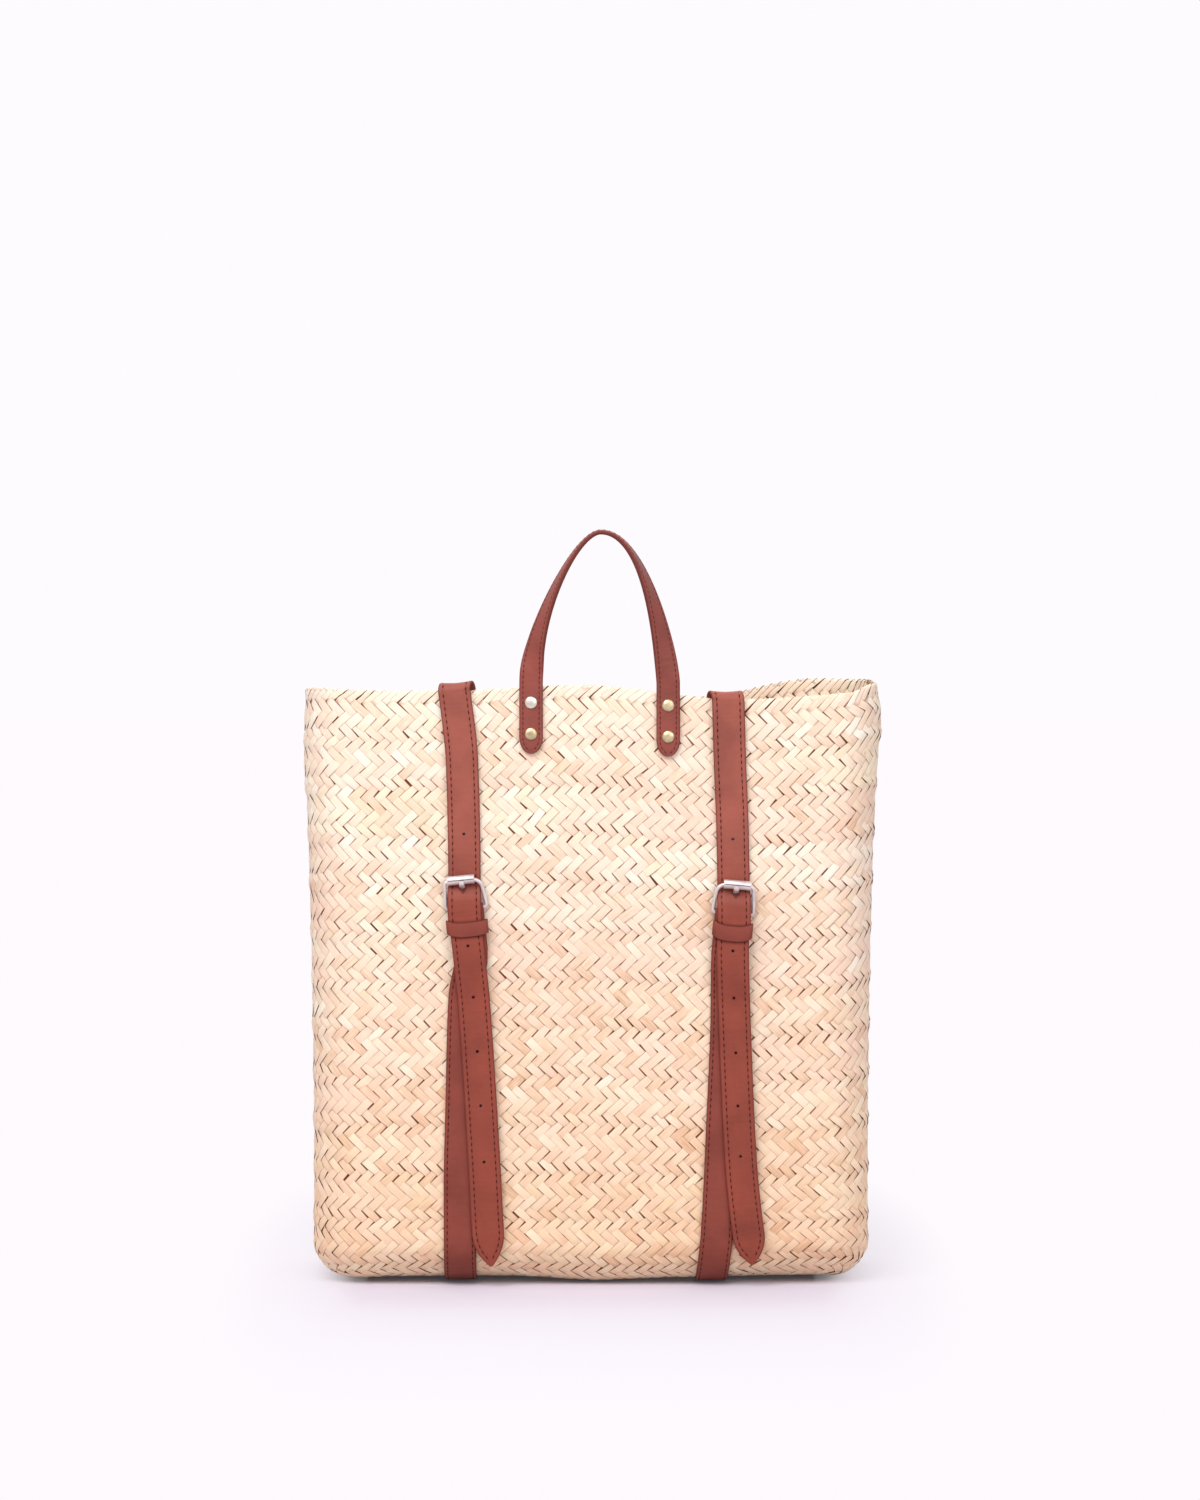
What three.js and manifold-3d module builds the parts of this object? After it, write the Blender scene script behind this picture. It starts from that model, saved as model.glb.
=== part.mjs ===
// Straw backpack: a plaited palm-leaf basket, a riveted leather handle and two buckled shoulder straps.
// Millimetres, +Z up, +X to the right seen from the front, front of the bag towards -Y, floor at z = 0.
import * as THREE from "three";
import { mergeVertices } from "three/addons/utils/BufferGeometryUtils.js";
import Module from "manifold-3d";

const wasm = await Module();
wasm.setup();

// Gap between pieces that rest on each other or turn in each other
const SEAT = 0.3;
// Stand-off of the leather from the uneven plait
const PLAIT_GAP = 0.6;

// Plaited basket
const MOUTH_WIDTH = 395;
const MIDDLE_WIDTH = 382.5;
const BASE_WIDTH = 381.5;
const MOUTH_DEPTH = 140;
const MIDDLE_DEPTH = 150;
const BASE_DEPTH = 146;
const BASKET_HEIGHT = 405;
const BASKET_WALL = 3.6;
const CORNER_RADIUS = 36;
const BASE_EDGE_RADIUS = 26;
const FACE_BOW = 4;
const BASE_SAG = 1.8;
const SAG_HALF_SPAN = 62;
// Rise of the front rim between the handle's ends, its dip beside the right strap,
// and drop of the back rim left of its right end
const FRONT_RIM_RISE = 4.4;
const FRONT_RISE_X = -2;
const FRONT_RISE_SPREAD = 52;
const FRONT_RIM_DIP = 6;
const FRONT_DIP_X = 103;
const FRONT_DIP_SPREAD = 68;
const BACK_RIM_DROP = 13;
const BACK_DROP_X = 155;
const BACK_DROP_SPREAD = 80;

// Shoulder strap leather
const STRAP_WIDTH = 22;
const LEATHER = 2.2;
const SKIVED_LEATHER = 1.4;
const LEATHER_EDGE = 0.5;
const STRAP_INSIDE_LENGTH = 58;
const STRAP_UNDER_BASE_TO = 42;
const TAIL_POINT_LENGTH = 26;
const HOLE_DIAMETER = 3;
const HOLE_PITCH = 37;
const HOLES_ON_TAIL = 5;
const FIRST_TAIL_HOLE = 25;
const SPARE_HOLE_ABOVE = 50.6;

// Carry handle
const HANDLE_WIDTH = 16;
const HANDLE_LEATHER = 2.8;
const HANDLE_RIM_CLEARANCE = 1.2;
const HANDLE_TAB_GAP = 0.5;
const HANDLE_TWIST_START = 0.08;
const HANDLE_RISE = 102.5;
const HANDLE_APEX_X = 6.8;
const TAB_TIP_LENGTH = 11;
const HANDLE_ENDS = [
  { side: "left", x: -40.5, tabLength: 42.8, turnEase: 0.62, legPull: 40.8, topPull: -16.9 },
  { side: "right", x: 52.4, tabLength: 44.8, turnEase: 1, legPull: 9, topPull: 33.5 },
];

// Roller buckle
const WIRE_DIAMETER = 2.5;
const FRAME_WIDTH = 27;
const FRAME_REACH = 19.3;
const FRAME_TOP_CORNER = 4.5;
const FRAME_BAR_CORNER = 2.5;
const ROLLER_LENGTH = 18.6;
const ROLLER_WALL = 0.6;
const ROLLER_PLAY = 1.1;
const ROLLER_REST_GAP = 0.5;
const ROLLER_SEAM = 0.5;
const PRONG_WIDTH = 3.2;
const PRONG_THICKNESS = 1.8;
const PRONG_EYE_WALL = 1.25;
const PRONG_SLOT_PLAY = 0.5;
const PRONG_SLOT_FROM = 5.4;
const PRONG_SLOT_TO = 14;
const FOLD_LENGTH = 30;
const FOLD_EASE = 28;

// Strap keeper
const KEEPER_LEATHER = 1.2;
const KEEPER_HEIGHT = 11;
const KEEPER_BELOW_BAR = 7;
const KEEPER_SIDE_PLAY = 1.5;
const TAIL_BELOW_KEEPER = 2.3;
// Length over which the hanging tail bridges the step of the fold
const TAIL_BRIDGE = 6;

// Double-cap rivets
const RIVET_HEAD = 8.6;
const RIVET_HEAD_HEIGHT = 1.9;
const RIVET_FLAT_HEIGHT = 0.9;
const RIVET_POST = 3;
const RIVET_CAP_HEIGHT = 1.9;
const RIVET_CAP_BORE = 1.1;
const HANDLE_RIVET_FROM_TIP = 13.6;
const HANDLE_RIVET_PITCH = 21.2;
const RIM_RIVETS_BELOW_RIM = [22, 44];
const EASE_BELOW_RIM_RIVETS = 18;
const RIM_EASE_LENGTH = 28;
const BASE_RIVETS_Y = [-26, 28];
const BASE_RIVET_SINK = 0.2;

// Shoulder straps as they hang: [drop below the rim, x] down the upper strap and its tail,
// and [share of the height to the foot of the fold, x] up the lower strap
const SHOULDERS = [
  {
    side: "left",
    barBelowRim: 147.7,
    barX: -85.6,
    leanDegrees: 5.5,
    rollerShift: -0.7,
    tailTip: 17.3,
    upperLine: [
      [-4.5, -93], [48.5, -87.3], [106.5, -85.9], [148.5, -85.5],
      [174.5, -82.9], [214.5, -79.1], [324.5, -72.3], [406.5, -67.9],
    ],
    lowerLine: [[0, -89.2], [0.3, -89.2], [0.558, -87.9], [0.871, -85.9]],
  },
  {
    side: "right",
    barBelowRim: 151.2,
    barX: 96.9,
    leanDegrees: -5,
    rollerShift: 0.7,
    tailTip: 18.3,
    upperLine: [
      [-4.5, 92.8], [48.5, 94.2], [96.5, 96.1], [154.5, 96.9],
      [176.5, 96], [214.5, 97.1], [324.5, 102.1], [406.5, 110.6],
    ],
    lowerLine: [[0, 82.4], [0.15, 85.6], [0.5, 89.3], [0.885, 92.3]],
  },
];

// Heights and stand-offs that follow from the sizes above
const BASE_UNDERSIDE = LEATHER + SEAT;
const RIM_HEIGHT = BASE_UNDERSIDE + BASKET_HEIGHT;
const WIRE_RADIUS = WIRE_DIAMETER / 2;
const EYE_RADIUS = WIRE_RADIUS + SEAT;
const FLAT_RUN = PLAIT_GAP + LEATHER;
const BAR_OUT = PLAIT_GAP + SKIVED_LEATHER + EYE_RADIUS;
const LOOP_RADIUS = EYE_RADIUS + SKIVED_LEATHER / 2;
const LOOP_OUT = BAR_OUT + EYE_RADIUS + SKIVED_LEATHER;
const KEEPER_BACK_OUT = PLAIT_GAP + SKIVED_LEATHER + SEAT;
const FOLD_OUT = KEEPER_BACK_OUT + KEEPER_LEATHER + SEAT + LEATHER;
const KEEPER_FRONT_IN = FOLD_OUT + SEAT + LEATHER + SEAT;
const KEEPER_FOOT = KEEPER_BELOW_BAR + KEEPER_HEIGHT;
const TAIL_HINGE_DROP = KEEPER_FOOT + TAIL_BELOW_KEEPER;
const ROLLER_BORE = WIRE_RADIUS + ROLLER_PLAY;
const ROLLER_RADIUS = ROLLER_BORE + ROLLER_WALL;
const ROLLER_LIFT = ROLLER_PLAY - ROLLER_REST_GAP;
const ROLLER_OUT = FLAT_RUN + 2 * SEAT + ROLLER_RADIUS;
const FRAME_TILT = Math.asin((ROLLER_OUT - BAR_OUT) / FRAME_REACH);
const ROLLER_UP = FRAME_REACH * Math.cos(FRAME_TILT) + ROLLER_LIFT;
const UNDER_ROLLER = FLAT_RUN + SEAT - LEATHER / 2;
const OVER_HEADS = 2 * SEAT + RIVET_FLAT_HEIGHT + LEATHER / 2;
const PRONG_TIP_OUT = ROLLER_OUT + ROLLER_RADIUS + SEAT + PRONG_THICKNESS / 2;

const STRAW = { color: 0xf2d9b4, roughness: 0.75, metalness: 0 };
const TAN_LEATHER = { color: 0x93493b, roughness: 0.55, metalness: 0 };
const NICKEL = { color: 0xd9d4d0, roughness: 0.22, metalness: 1 };
const ANTIQUE_BRASS = { color: 0xb39a72, roughness: 0.3, metalness: 1 };

const radians = THREE.MathUtils.degToRad;
const lerp = THREE.MathUtils.lerp;

// A smooth line through [position, value] pairs that never swings past a pair; level beyond the ends
function through(pairs) {
  const line = [...pairs].sort((a, b) => a[0] - b[0]);
  const rise = line.slice(1).map((pair, i) => (pair[1] - line[i][1]) / (pair[0] - line[i][0]));
  const slope = line.map((pair, i) => {
    const before = rise[Math.max(i - 1, 0)];
    const after = rise[Math.min(i, rise.length - 1)];
    return before * after > 0 ? 2 * before * after / (before + after) : 0;
  });
  return (position) => {
    const at = THREE.MathUtils.clamp(position, line[0][0], line.at(-1)[0]);
    const i = Math.max(line.findIndex((pair) => at <= pair[0]) - 1, 0);
    const span = line[i + 1][0] - line[i][0];
    const t = (at - line[i][0]) / span;
    const ease = t * t * (3 - 2 * t);
    const bend = t * (1 - t) * ((1 - t) * slope[i] - t * slope[i + 1]) * span;
    return lerp(line[i][1], line[i + 1][1], ease) + bend;
  };
}

// Evenly spaced values from one end to the other, both included
function steps(from, to, count) {
  return Array.from({ length: count + 1 }, (_, i) => lerp(from, to, i / count));
}

// A closed body skinned over rings of points, each ring turning the same way round the direction of travel
function skin(rings) {
  const around = rings[0].length;
  const points = rings.flat();
  const index = [];
  for (let k = 0; k + 1 < rings.length; k++) {
    for (let i = 0; i < around; i++) {
      const a = k * around + i;
      const b = k * around + (i + 1) % around;
      index.push(a, b, b + around, a, b + around, a + around);
    }
  }
  for (const [first, last] of [[0, false], [(rings.length - 1) * around, true]]) {
    const ring = points.slice(first, first + around);
    const middle = points.length;
    const centre = ring.reduce((sum, p) => sum.add(p), new THREE.Vector3()).divideScalar(around);
    points.push(centre);
    for (let i = 0; i < around; i++) {
      const a = first + i;
      const b = first + (i + 1) % around;
      index.push(middle, last ? a : b, last ? b : a);
    }
  }
  const geometry = new THREE.BufferGeometry().setFromPoints(points);
  geometry.setIndex(index);
  return geometry;
}

function toSolid(geometry) {
  const bare = new THREE.BufferGeometry();
  bare.setAttribute("position", geometry.getAttribute("position").clone());
  if (geometry.index) {
    bare.setIndex(geometry.index.clone());
  }
  const merged = mergeVertices(bare, 1e-3);
  return new wasm.Manifold(new wasm.Mesh({
    numProp: 3,
    vertProperties: new Float32Array(merged.getAttribute("position").array),
    triVerts: new Uint32Array(merged.index.array),
  }));
}

function toGeometry(solid) {
  const mesh = solid.getMesh();
  const geometry = new THREE.BufferGeometry();
  geometry.setAttribute("position", new THREE.BufferAttribute(mesh.vertProperties, 3));
  geometry.setIndex(new THREE.BufferAttribute(mesh.triVerts, 1));
  return geometry;
}

function cut(geometry, tools) {
  let solid = toSolid(geometry);
  for (const tool of tools) {
    solid = solid.subtract(toSolid(tool));
  }
  return toGeometry(solid);
}

function named(name, geometry, finish) {
  const mesh = new THREE.Mesh(geometry, new THREE.MeshStandardMaterial(finish));
  mesh.name = name;
  return mesh;
}

// Basket form: half width, half depth and corner of the outline at a share of the height
function midway(base, middle, mouth) {
  return (share) => {
    const rest = 1 - share;
    return base * rest * (1 - 2 * share) + middle * 4 * share * rest + mouth * share * (2 * share - 1);
  };
}
const halfWidth = midway(BASE_WIDTH / 2, MIDDLE_WIDTH / 2, MOUTH_WIDTH / 2);
const halfDepth = midway(BASE_DEPTH / 2, MIDDLE_DEPTH / 2, MOUTH_DEPTH / 2);

function rimHeight(x, y) {
  const front = THREE.MathUtils.clamp(0.5 - y / MOUTH_DEPTH, 0, 1);
  const rise = FRONT_RIM_RISE * Math.exp(-(((x - FRONT_RISE_X) / FRONT_RISE_SPREAD) ** 2));
  const dip = FRONT_RIM_DIP * Math.exp(-(((x - FRONT_DIP_X) / FRONT_DIP_SPREAD) ** 2));
  const drop = BACK_RIM_DROP * THREE.MathUtils.smoothstep(BACK_DROP_X - x, 0, BACK_DROP_SPREAD);
  return RIM_HEIGHT + front * (rise - dip) - (1 - front) * drop;
}

function bowAt(x, share) {
  const straight = halfWidth(share) - CORNER_RADIUS;
  return FACE_BOW * Math.max(0, 1 - (x / straight) ** 2);
}

// One half of the outline, front face then right side, turned half a turn for the other half
const FACE_STEPS = 8;
const CORNER_STEPS = 4;
const SIDE_STEPS = 2;
function outline(share, inset) {
  const straightX = halfWidth(share) - CORNER_RADIUS;
  const straightY = halfDepth(share) - CORNER_RADIUS;
  const corner = CORNER_RADIUS - inset;
  const half = [];
  for (let i = 0; i < FACE_STEPS; i++) {
    const x = lerp(-straightX, straightX, i / FACE_STEPS);
    half.push([x, -straightY - corner - bowAt(x, share)]);
  }
  for (let i = 0; i < CORNER_STEPS; i++) {
    const turn = radians(90 * i / CORNER_STEPS);
    half.push([straightX + corner * Math.sin(turn), -straightY - corner * Math.cos(turn)]);
  }
  for (let i = 0; i < SIDE_STEPS; i++) {
    half.push([straightX + corner, lerp(-straightY, straightY, i / SIDE_STEPS)]);
  }
  for (let i = 0; i < CORNER_STEPS; i++) {
    const turn = radians(90 * i / CORNER_STEPS);
    half.push([straightX + corner * Math.cos(turn), straightY + corner * Math.sin(turn)]);
  }
  return [...half, ...half.map(([x, y]) => [-x, -y])];
}

function sagAt(x) {
  const reach = Math.min(Math.abs(x) / SAG_HALF_SPAN, 1);
  return BASE_SAG * Math.cos(reach * Math.PI / 2) ** 2;
}

// Rings of one face of the basket, from the middle of the base out and up to the rim
function basketFace(inset) {
  const floor = BASE_UNDERSIDE + inset;
  const edge = BASE_EDGE_RADIUS - inset;
  const rings = [];
  for (const size of [0.3, 0.65]) {
    const ring = outline(0, BASE_EDGE_RADIUS).map(([x, y]) => [x * size, y * size]);
    rings.push(ring.map(([x, y]) => new THREE.Vector3(x, y, floor - sagAt(x))));
  }
  for (const degrees of steps(0, 90, 4)) {
    const turn = radians(degrees);
    const rise = edge * (1 - Math.cos(turn));
    const share = (floor + rise - BASE_UNDERSIDE) / BASKET_HEIGHT;
    const ring = outline(share, inset + edge * (1 - Math.sin(turn)));
    const flat = Math.cos(turn) ** 2;
    rings.push(ring.map(([x, y]) => new THREE.Vector3(x, y, floor + rise - sagAt(x) * flat)));
  }
  for (const share of steps(BASE_EDGE_RADIUS / BASKET_HEIGHT, 1, 5).slice(1)) {
    const ring = outline(share, inset);
    rings.push(ring.map(([x, y]) => new THREE.Vector3(x, y, lerp(BASE_UNDERSIDE, rimHeight(x, y), share))));
  }
  return rings;
}

// Point standing off the front wall, and the wall's outward normal there
function wallY(x, z) {
  const share = (z - BASE_UNDERSIDE) / (rimHeight(x, -MOUTH_DEPTH / 2) - BASE_UNDERSIDE);
  return -halfDepth(share) - bowAt(x, share);
}

function wallNormal(x, z) {
  const step = 0.5;
  const overX = (wallY(x + step, z) - wallY(x - step, z)) / (2 * step);
  const overZ = (wallY(x, z + step) - wallY(x, z - step)) / (2 * step);
  return new THREE.Vector3(overX, -1, overZ).normalize();
}

function offWall(x, z, out) {
  return new THREE.Vector3(x, wallY(x, z), z).addScaledVector(wallNormal(x, z), out);
}

function frontRim(x) {
  return rimHeight(x, -MOUTH_DEPTH / 2);
}

// Leather strip carried along stations of centre, outer face direction, half width and thickness
function strip(stations) {
  const rings = stations.map((station, k) => {
    const before = stations[Math.max(k - 1, 0)].centre;
    const after = stations[Math.min(k + 1, stations.length - 1)].centre;
    const travel = after.clone().sub(before).normalize();
    const across = station.face.clone().cross(travel).normalize();
    const face = travel.clone().cross(across);
    const w = station.half;
    const t = station.thick / 2;
    const e = Math.min(LEATHER_EDGE, t * 0.5, w * 0.5);
    const corners = [
      [w, e - t], [w, t - e], [w - e, t], [e - w, t],
      [-w, t - e], [-w, e - t], [e - w, -t], [w - e, -t],
    ];
    return corners.map(([a, f]) => {
      const corner = station.centre.clone().addScaledVector(across, a);
      return corner.addScaledVector(face, f);
    });
  });
  return skin(rings);
}

// Stations that round off the end of a strip about its hinge line, from the tip to the full thickness
function roundedEnd(hinge, outwards, face, half, thick) {
  return [15, 40, 65, 90].map((degrees) => ({
    centre: hinge.clone().addScaledVector(outwards, thick / 2 * Math.cos(radians(degrees))),
    face,
    half,
    thick: thick * Math.sin(radians(degrees)),
  }));
}

// Placement whose Y axis runs along a direction
function along(point, direction) {
  const turn = new THREE.Quaternion().setFromUnitVectors(new THREE.Vector3(0, 1, 0), direction);
  return new THREE.Matrix4().compose(point, turn, new THREE.Vector3(1, 1, 1));
}

function drill(point, direction, diameter, from, to) {
  const tool = new THREE.CylinderGeometry(diameter / 2, diameter / 2, to - from, 10);
  tool.translate(0, (from + to) / 2, 0);
  return tool.applyMatrix4(along(point, direction));
}

// Rivet of a headed stud and a blind inner cap; the point is under the head and the stack is what it clamps
const RIVET_SIDES = 10;
function rivet(name, point, outwards, stack, flat) {
  const head = RIVET_HEAD / 2;
  const post = RIVET_POST / 2;
  const dome = [[head, 0.5], [head * 0.68, RIVET_HEAD_HEIGHT * 0.82], [0, RIVET_HEAD_HEIGHT]];
  const disc = [[head, RIVET_FLAT_HEIGHT * 0.7], [head - 0.3, RIVET_FLAT_HEIGHT], [0, RIVET_FLAT_HEIGHT]];
  const end = -stack - RIVET_CAP_BORE + SEAT;
  const stud = [[0, end], [post, end], [post, 0], [head, 0], ...(flat ? disc : dome)];
  const bore = post + SEAT;
  const cap = [
    [0, -RIVET_CAP_HEIGHT], [head * 0.68, -RIVET_CAP_HEIGHT * 0.82], [head, -0.5], [head, 0],
    [bore, 0], [bore, -RIVET_CAP_BORE], [0, -RIVET_CAP_BORE],
  ];
  const lathe = (profile) => {
    const line = profile.map(([r, y]) => new THREE.Vector2(r, y));
    return new THREE.LatheGeometry(line, RIVET_SIDES);
  };
  const group = new THREE.Group();
  group.applyMatrix4(along(point, outwards));
  const inner = named(`${name}_cap`, lathe(cap), ANTIQUE_BRASS);
  inner.position.y = -stack;
  group.add(named(`${name}_stud`, lathe(stud), ANTIQUE_BRASS), inner);
  return group;
}

const bag = new THREE.Group();
bag.name = "straw_backpack";
const joints = {};
const basketHoles = [];
const POST_HOLE = RIVET_POST + 2 * SEAT;

// Carry handle: two riveted tabs and the arch that bends from them
const handleCentreOut = PLAIT_GAP + HANDLE_LEATHER / 2;
const handleRims = HANDLE_ENDS.map((end) => frontRim(end.x));
const handleHingeZ = Math.max(...handleRims) + HANDLE_LEATHER / 2 + HANDLE_RIM_CLEARANCE;
const handleFeet = HANDLE_ENDS.map((end) => offWall(end.x, handleHingeZ, handleCentreOut));
const handleHingeY = (handleFeet[0].y + handleFeet[1].y) / 2;
joints.handle_fold = {
  at: new THREE.Vector3(0, handleHingeY, handleHingeZ),
  axis: new THREE.Vector3(1, 0, 0),
};

function handleTab(end) {
  const top = handleHingeZ - HANDLE_LEATHER / 2 - HANDLE_TAB_GAP;
  const tip = RIM_HEIGHT - end.tabLength;
  const tipHeights = [0.02, 0.12, 0.3, 0.55, 1].map((share) => tip + TAB_TIP_LENGTH * share);
  const heights = [...tipHeights, ...steps(tip + TAB_TIP_LENGTH, top, 6).slice(1)];
  const stations = heights.map((z) => {
    const share = Math.min((z - tip) / TAB_TIP_LENGTH, 1);
    return {
      centre: offWall(end.x, z, handleCentreOut),
      face: wallNormal(end.x, z),
      half: HANDLE_WIDTH / 2 * Math.sqrt(1 - (1 - share) ** 2),
      thick: HANDLE_LEATHER,
    };
  });
  const holes = [];
  [0, 1].forEach((i) => {
    const z = tip + HANDLE_RIVET_FROM_TIP + i * HANDLE_RIVET_PITCH;
    const normal = wallNormal(end.x, z);
    const underHead = PLAIT_GAP + HANDLE_LEATHER + SEAT;
    const point = offWall(end.x, z, underHead);
    const stack = underHead + BASKET_WALL + SEAT;
    const hole = drill(point, normal, POST_HOLE, -stack - 3, 3);
    holes.push(hole);
    basketHoles.push(hole);
    bag.add(rivet(`handle_${end.side}_${["lower", "upper"][i]}_rivet`, point, normal, stack, false));
  });
  return named(`handle_${end.side}_tab`, cut(strip(stations), holes), TAN_LEATHER);
}

function handleArch() {
  const [left, right] = HANDLE_ENDS;
  const top = handleHingeZ + HANDLE_RISE;
  const at = (x, z) => new THREE.Vector3(x, handleHingeY, z);
  const leg = (end) => new THREE.CubicBezierCurve3(
    at(end.x, handleHingeZ), at(end.x, handleHingeZ + end.legPull),
    at(HANDLE_APEX_X + end.topPull, top), at(HANDLE_APEX_X, top),
  );
  const half = HANDLE_WIDTH / 2;
  const legStations = (end, travelSign) => steps(0, 1, 14).slice(1).map((t) => {
    const curve = leg(end);
    const travel = curve.getTangent(t).multiplyScalar(travelSign);
    const outside = new THREE.Vector3(-travel.z, 0, travel.x);
    const twist = Math.max(0, t - HANDLE_TWIST_START) / (1 - HANDLE_TWIST_START);
    const turn = Math.PI / 2 * Math.sin(Math.PI / 2 * twist ** end.turnEase);
    const face = new THREE.Vector3(0, -Math.cos(turn), 0).addScaledVector(outside, Math.sin(turn));
    return { centre: curve.getPoint(t), face, half, thick: HANDLE_LEATHER };
  });
  const front = new THREE.Vector3(0, -1, 0);
  const down = new THREE.Vector3(0, 0, -1);
  const foot = (end) => roundedEnd(at(end.x, handleHingeZ), down, front, half, HANDLE_LEATHER);
  return named("handle_arch", strip([
    ...foot(left),
    ...legStations(left, 1),
    ...legStations(right, -1).reverse().slice(1),
    ...foot(right).reverse(),
  ]), TAN_LEATHER);
}

bag.add(handleArch(), ...HANDLE_ENDS.map(handleTab));

// Outer face of the lower strap off the wall, by distance above the buckle bar
const foldOut = through([
  [-FOLD_LENGTH - FOLD_EASE - 40, FLAT_RUN], [-FOLD_LENGTH - FOLD_EASE, FLAT_RUN],
  [-FOLD_LENGTH - 1, FOLD_OUT], [-KEEPER_BELOW_BAR + 1, FOLD_OUT],
  [0, LOOP_OUT], [1, LOOP_OUT],
]);
// Middle of the upper strap off the wall above the buckle bar, diving behind the roller
const OVER_LOOP = LOOP_OUT + SEAT + LEATHER / 2;
const ON_WALL = PLAIT_GAP + LEATHER / 2;
const diveOut = through([
  [-1, OVER_LOOP], [5, OVER_LOOP], [ROLLER_UP - 0.6, UNDER_ROLLER],
  [ROLLER_UP + 3, UNDER_ROLLER], [ROLLER_UP + 30, ON_WALL], [ROLLER_UP + 40, ON_WALL],
]);

function barHeight(shoulder) {
  return RIM_HEIGHT - shoulder.barBelowRim;
}

// Sideways place of the upper strap by height
function upperLineX(shoulder) {
  const line = through(shoulder.upperLine);
  return (z) => line(RIM_HEIGHT - z);
}

// Buckle placement: X along the bar, Z up the strap, Y into the bag
function bucklePlace(shoulder) {
  const normal = wallNormal(shoulder.barX, barHeight(shoulder));
  const up = new THREE.Vector3(0, 0, 1).addScaledVector(normal, -normal.z).normalize();
  up.applyAxisAngle(normal, radians(shoulder.leanDegrees));
  const inwards = normal.clone().negate();
  const across = inwards.clone().cross(up);
  const place = new THREE.Matrix4().makeBasis(across, inwards, up);
  place.setPosition(offWall(shoulder.barX, barHeight(shoulder), 0));
  return place;
}

// Extrusion of a side profile drawn as [out from the wall, up], centred on the width of the bar
function acrossBar(shape, width, shift) {
  const geometry = new THREE.ExtrudeGeometry(shape, {
    depth: width, bevelEnabled: false, curveSegments: 9,
  });
  geometry.translate(0, 0, -width / 2 - shift);
  const turn = new THREE.Matrix4().makeBasis(
    new THREE.Vector3(0, -1, 0), new THREE.Vector3(0, 0, 1), new THREE.Vector3(-1, 0, 0),
  );
  return geometry.applyMatrix4(turn);
}

function buckleFrame() {
  const half = FRAME_WIDTH / 2;
  const topCorner = half - FRAME_TOP_CORNER;
  const wire = new THREE.Path();
  wire.moveTo(0, 0);
  wire.lineTo(half - FRAME_BAR_CORNER, 0);
  wire.absarc(half - FRAME_BAR_CORNER, FRAME_BAR_CORNER, FRAME_BAR_CORNER, -Math.PI / 2, 0);
  wire.lineTo(half, FRAME_REACH - FRAME_TOP_CORNER);
  wire.absarc(topCorner, FRAME_REACH - FRAME_TOP_CORNER, FRAME_TOP_CORNER, 0, Math.PI / 2);
  wire.lineTo(-topCorner, FRAME_REACH);
  wire.absarc(-topCorner, FRAME_REACH - FRAME_TOP_CORNER, FRAME_TOP_CORNER, Math.PI / 2, Math.PI);
  wire.lineTo(-half, FRAME_BAR_CORNER);
  wire.absarc(FRAME_BAR_CORNER - half, FRAME_BAR_CORNER, FRAME_BAR_CORNER, Math.PI, 1.5 * Math.PI);
  wire.lineTo(0, 0);
  const points = wire.getSpacedPoints(90).slice(0, -1).map((p) => new THREE.Vector3(
    p.x, -BAR_OUT - p.y * Math.sin(FRAME_TILT), p.y * Math.cos(FRAME_TILT),
  ));
  return new THREE.TubeGeometry(new THREE.CatmullRomCurve3(points, true), 44, WIRE_RADIUS, 8, true);
}

function buckleRoller(shift) {
  const gap = ROLLER_SEAM / ROLLER_RADIUS / 2;
  const tube = new THREE.Shape();
  tube.absarc(ROLLER_OUT, ROLLER_UP, ROLLER_RADIUS, gap, 2 * Math.PI - gap, false);
  tube.absarc(ROLLER_OUT, ROLLER_UP, ROLLER_BORE, 2 * Math.PI - gap, gap, true);
  return acrossBar(tube, ROLLER_LENGTH, shift);
}

function buckleProng() {
  const eye = new THREE.Shape();
  eye.absarc(BAR_OUT, 0, EYE_RADIUS + PRONG_EYE_WALL, 0, 2 * Math.PI);
  const shank = new THREE.SplineCurve([
    new THREE.Vector2(BAR_OUT + 0.2, EYE_RADIUS + 0.4),
    new THREE.Vector2(BAR_OUT + 1, 7.5),
    new THREE.Vector2(BAR_OUT + 2.6, 12),
    new THREE.Vector2(PRONG_TIP_OUT - 1.5, ROLLER_UP - 4),
    new THREE.Vector2(PRONG_TIP_OUT, ROLLER_UP),
  ]);
  const inner = [];
  const outer = [];
  for (const t of steps(0, 1, 16)) {
    const p = shank.getPoint(t);
    const run = shank.getTangent(t);
    const half = PRONG_THICKNESS / 2 * Math.sqrt(1 - Math.max(0, (t - 0.94) / 0.08) ** 2);
    outer.push(new THREE.Vector2(p.x + run.y * half, p.y - run.x * half));
    inner.push(new THREE.Vector2(p.x - run.y * half, p.y + run.x * half));
  }
  const blade = new THREE.Shape([...outer, ...inner.reverse()]);
  const bore = new THREE.Shape();
  bore.absarc(BAR_OUT, 0, EYE_RADIUS, 0, 2 * Math.PI);
  const body = toSolid(acrossBar(eye, PRONG_WIDTH, 0)).add(toSolid(acrossBar(blade, PRONG_WIDTH, 0)));
  return toGeometry(body.subtract(toSolid(acrossBar(bore, PRONG_WIDTH + 2, 0))));
}

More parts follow.
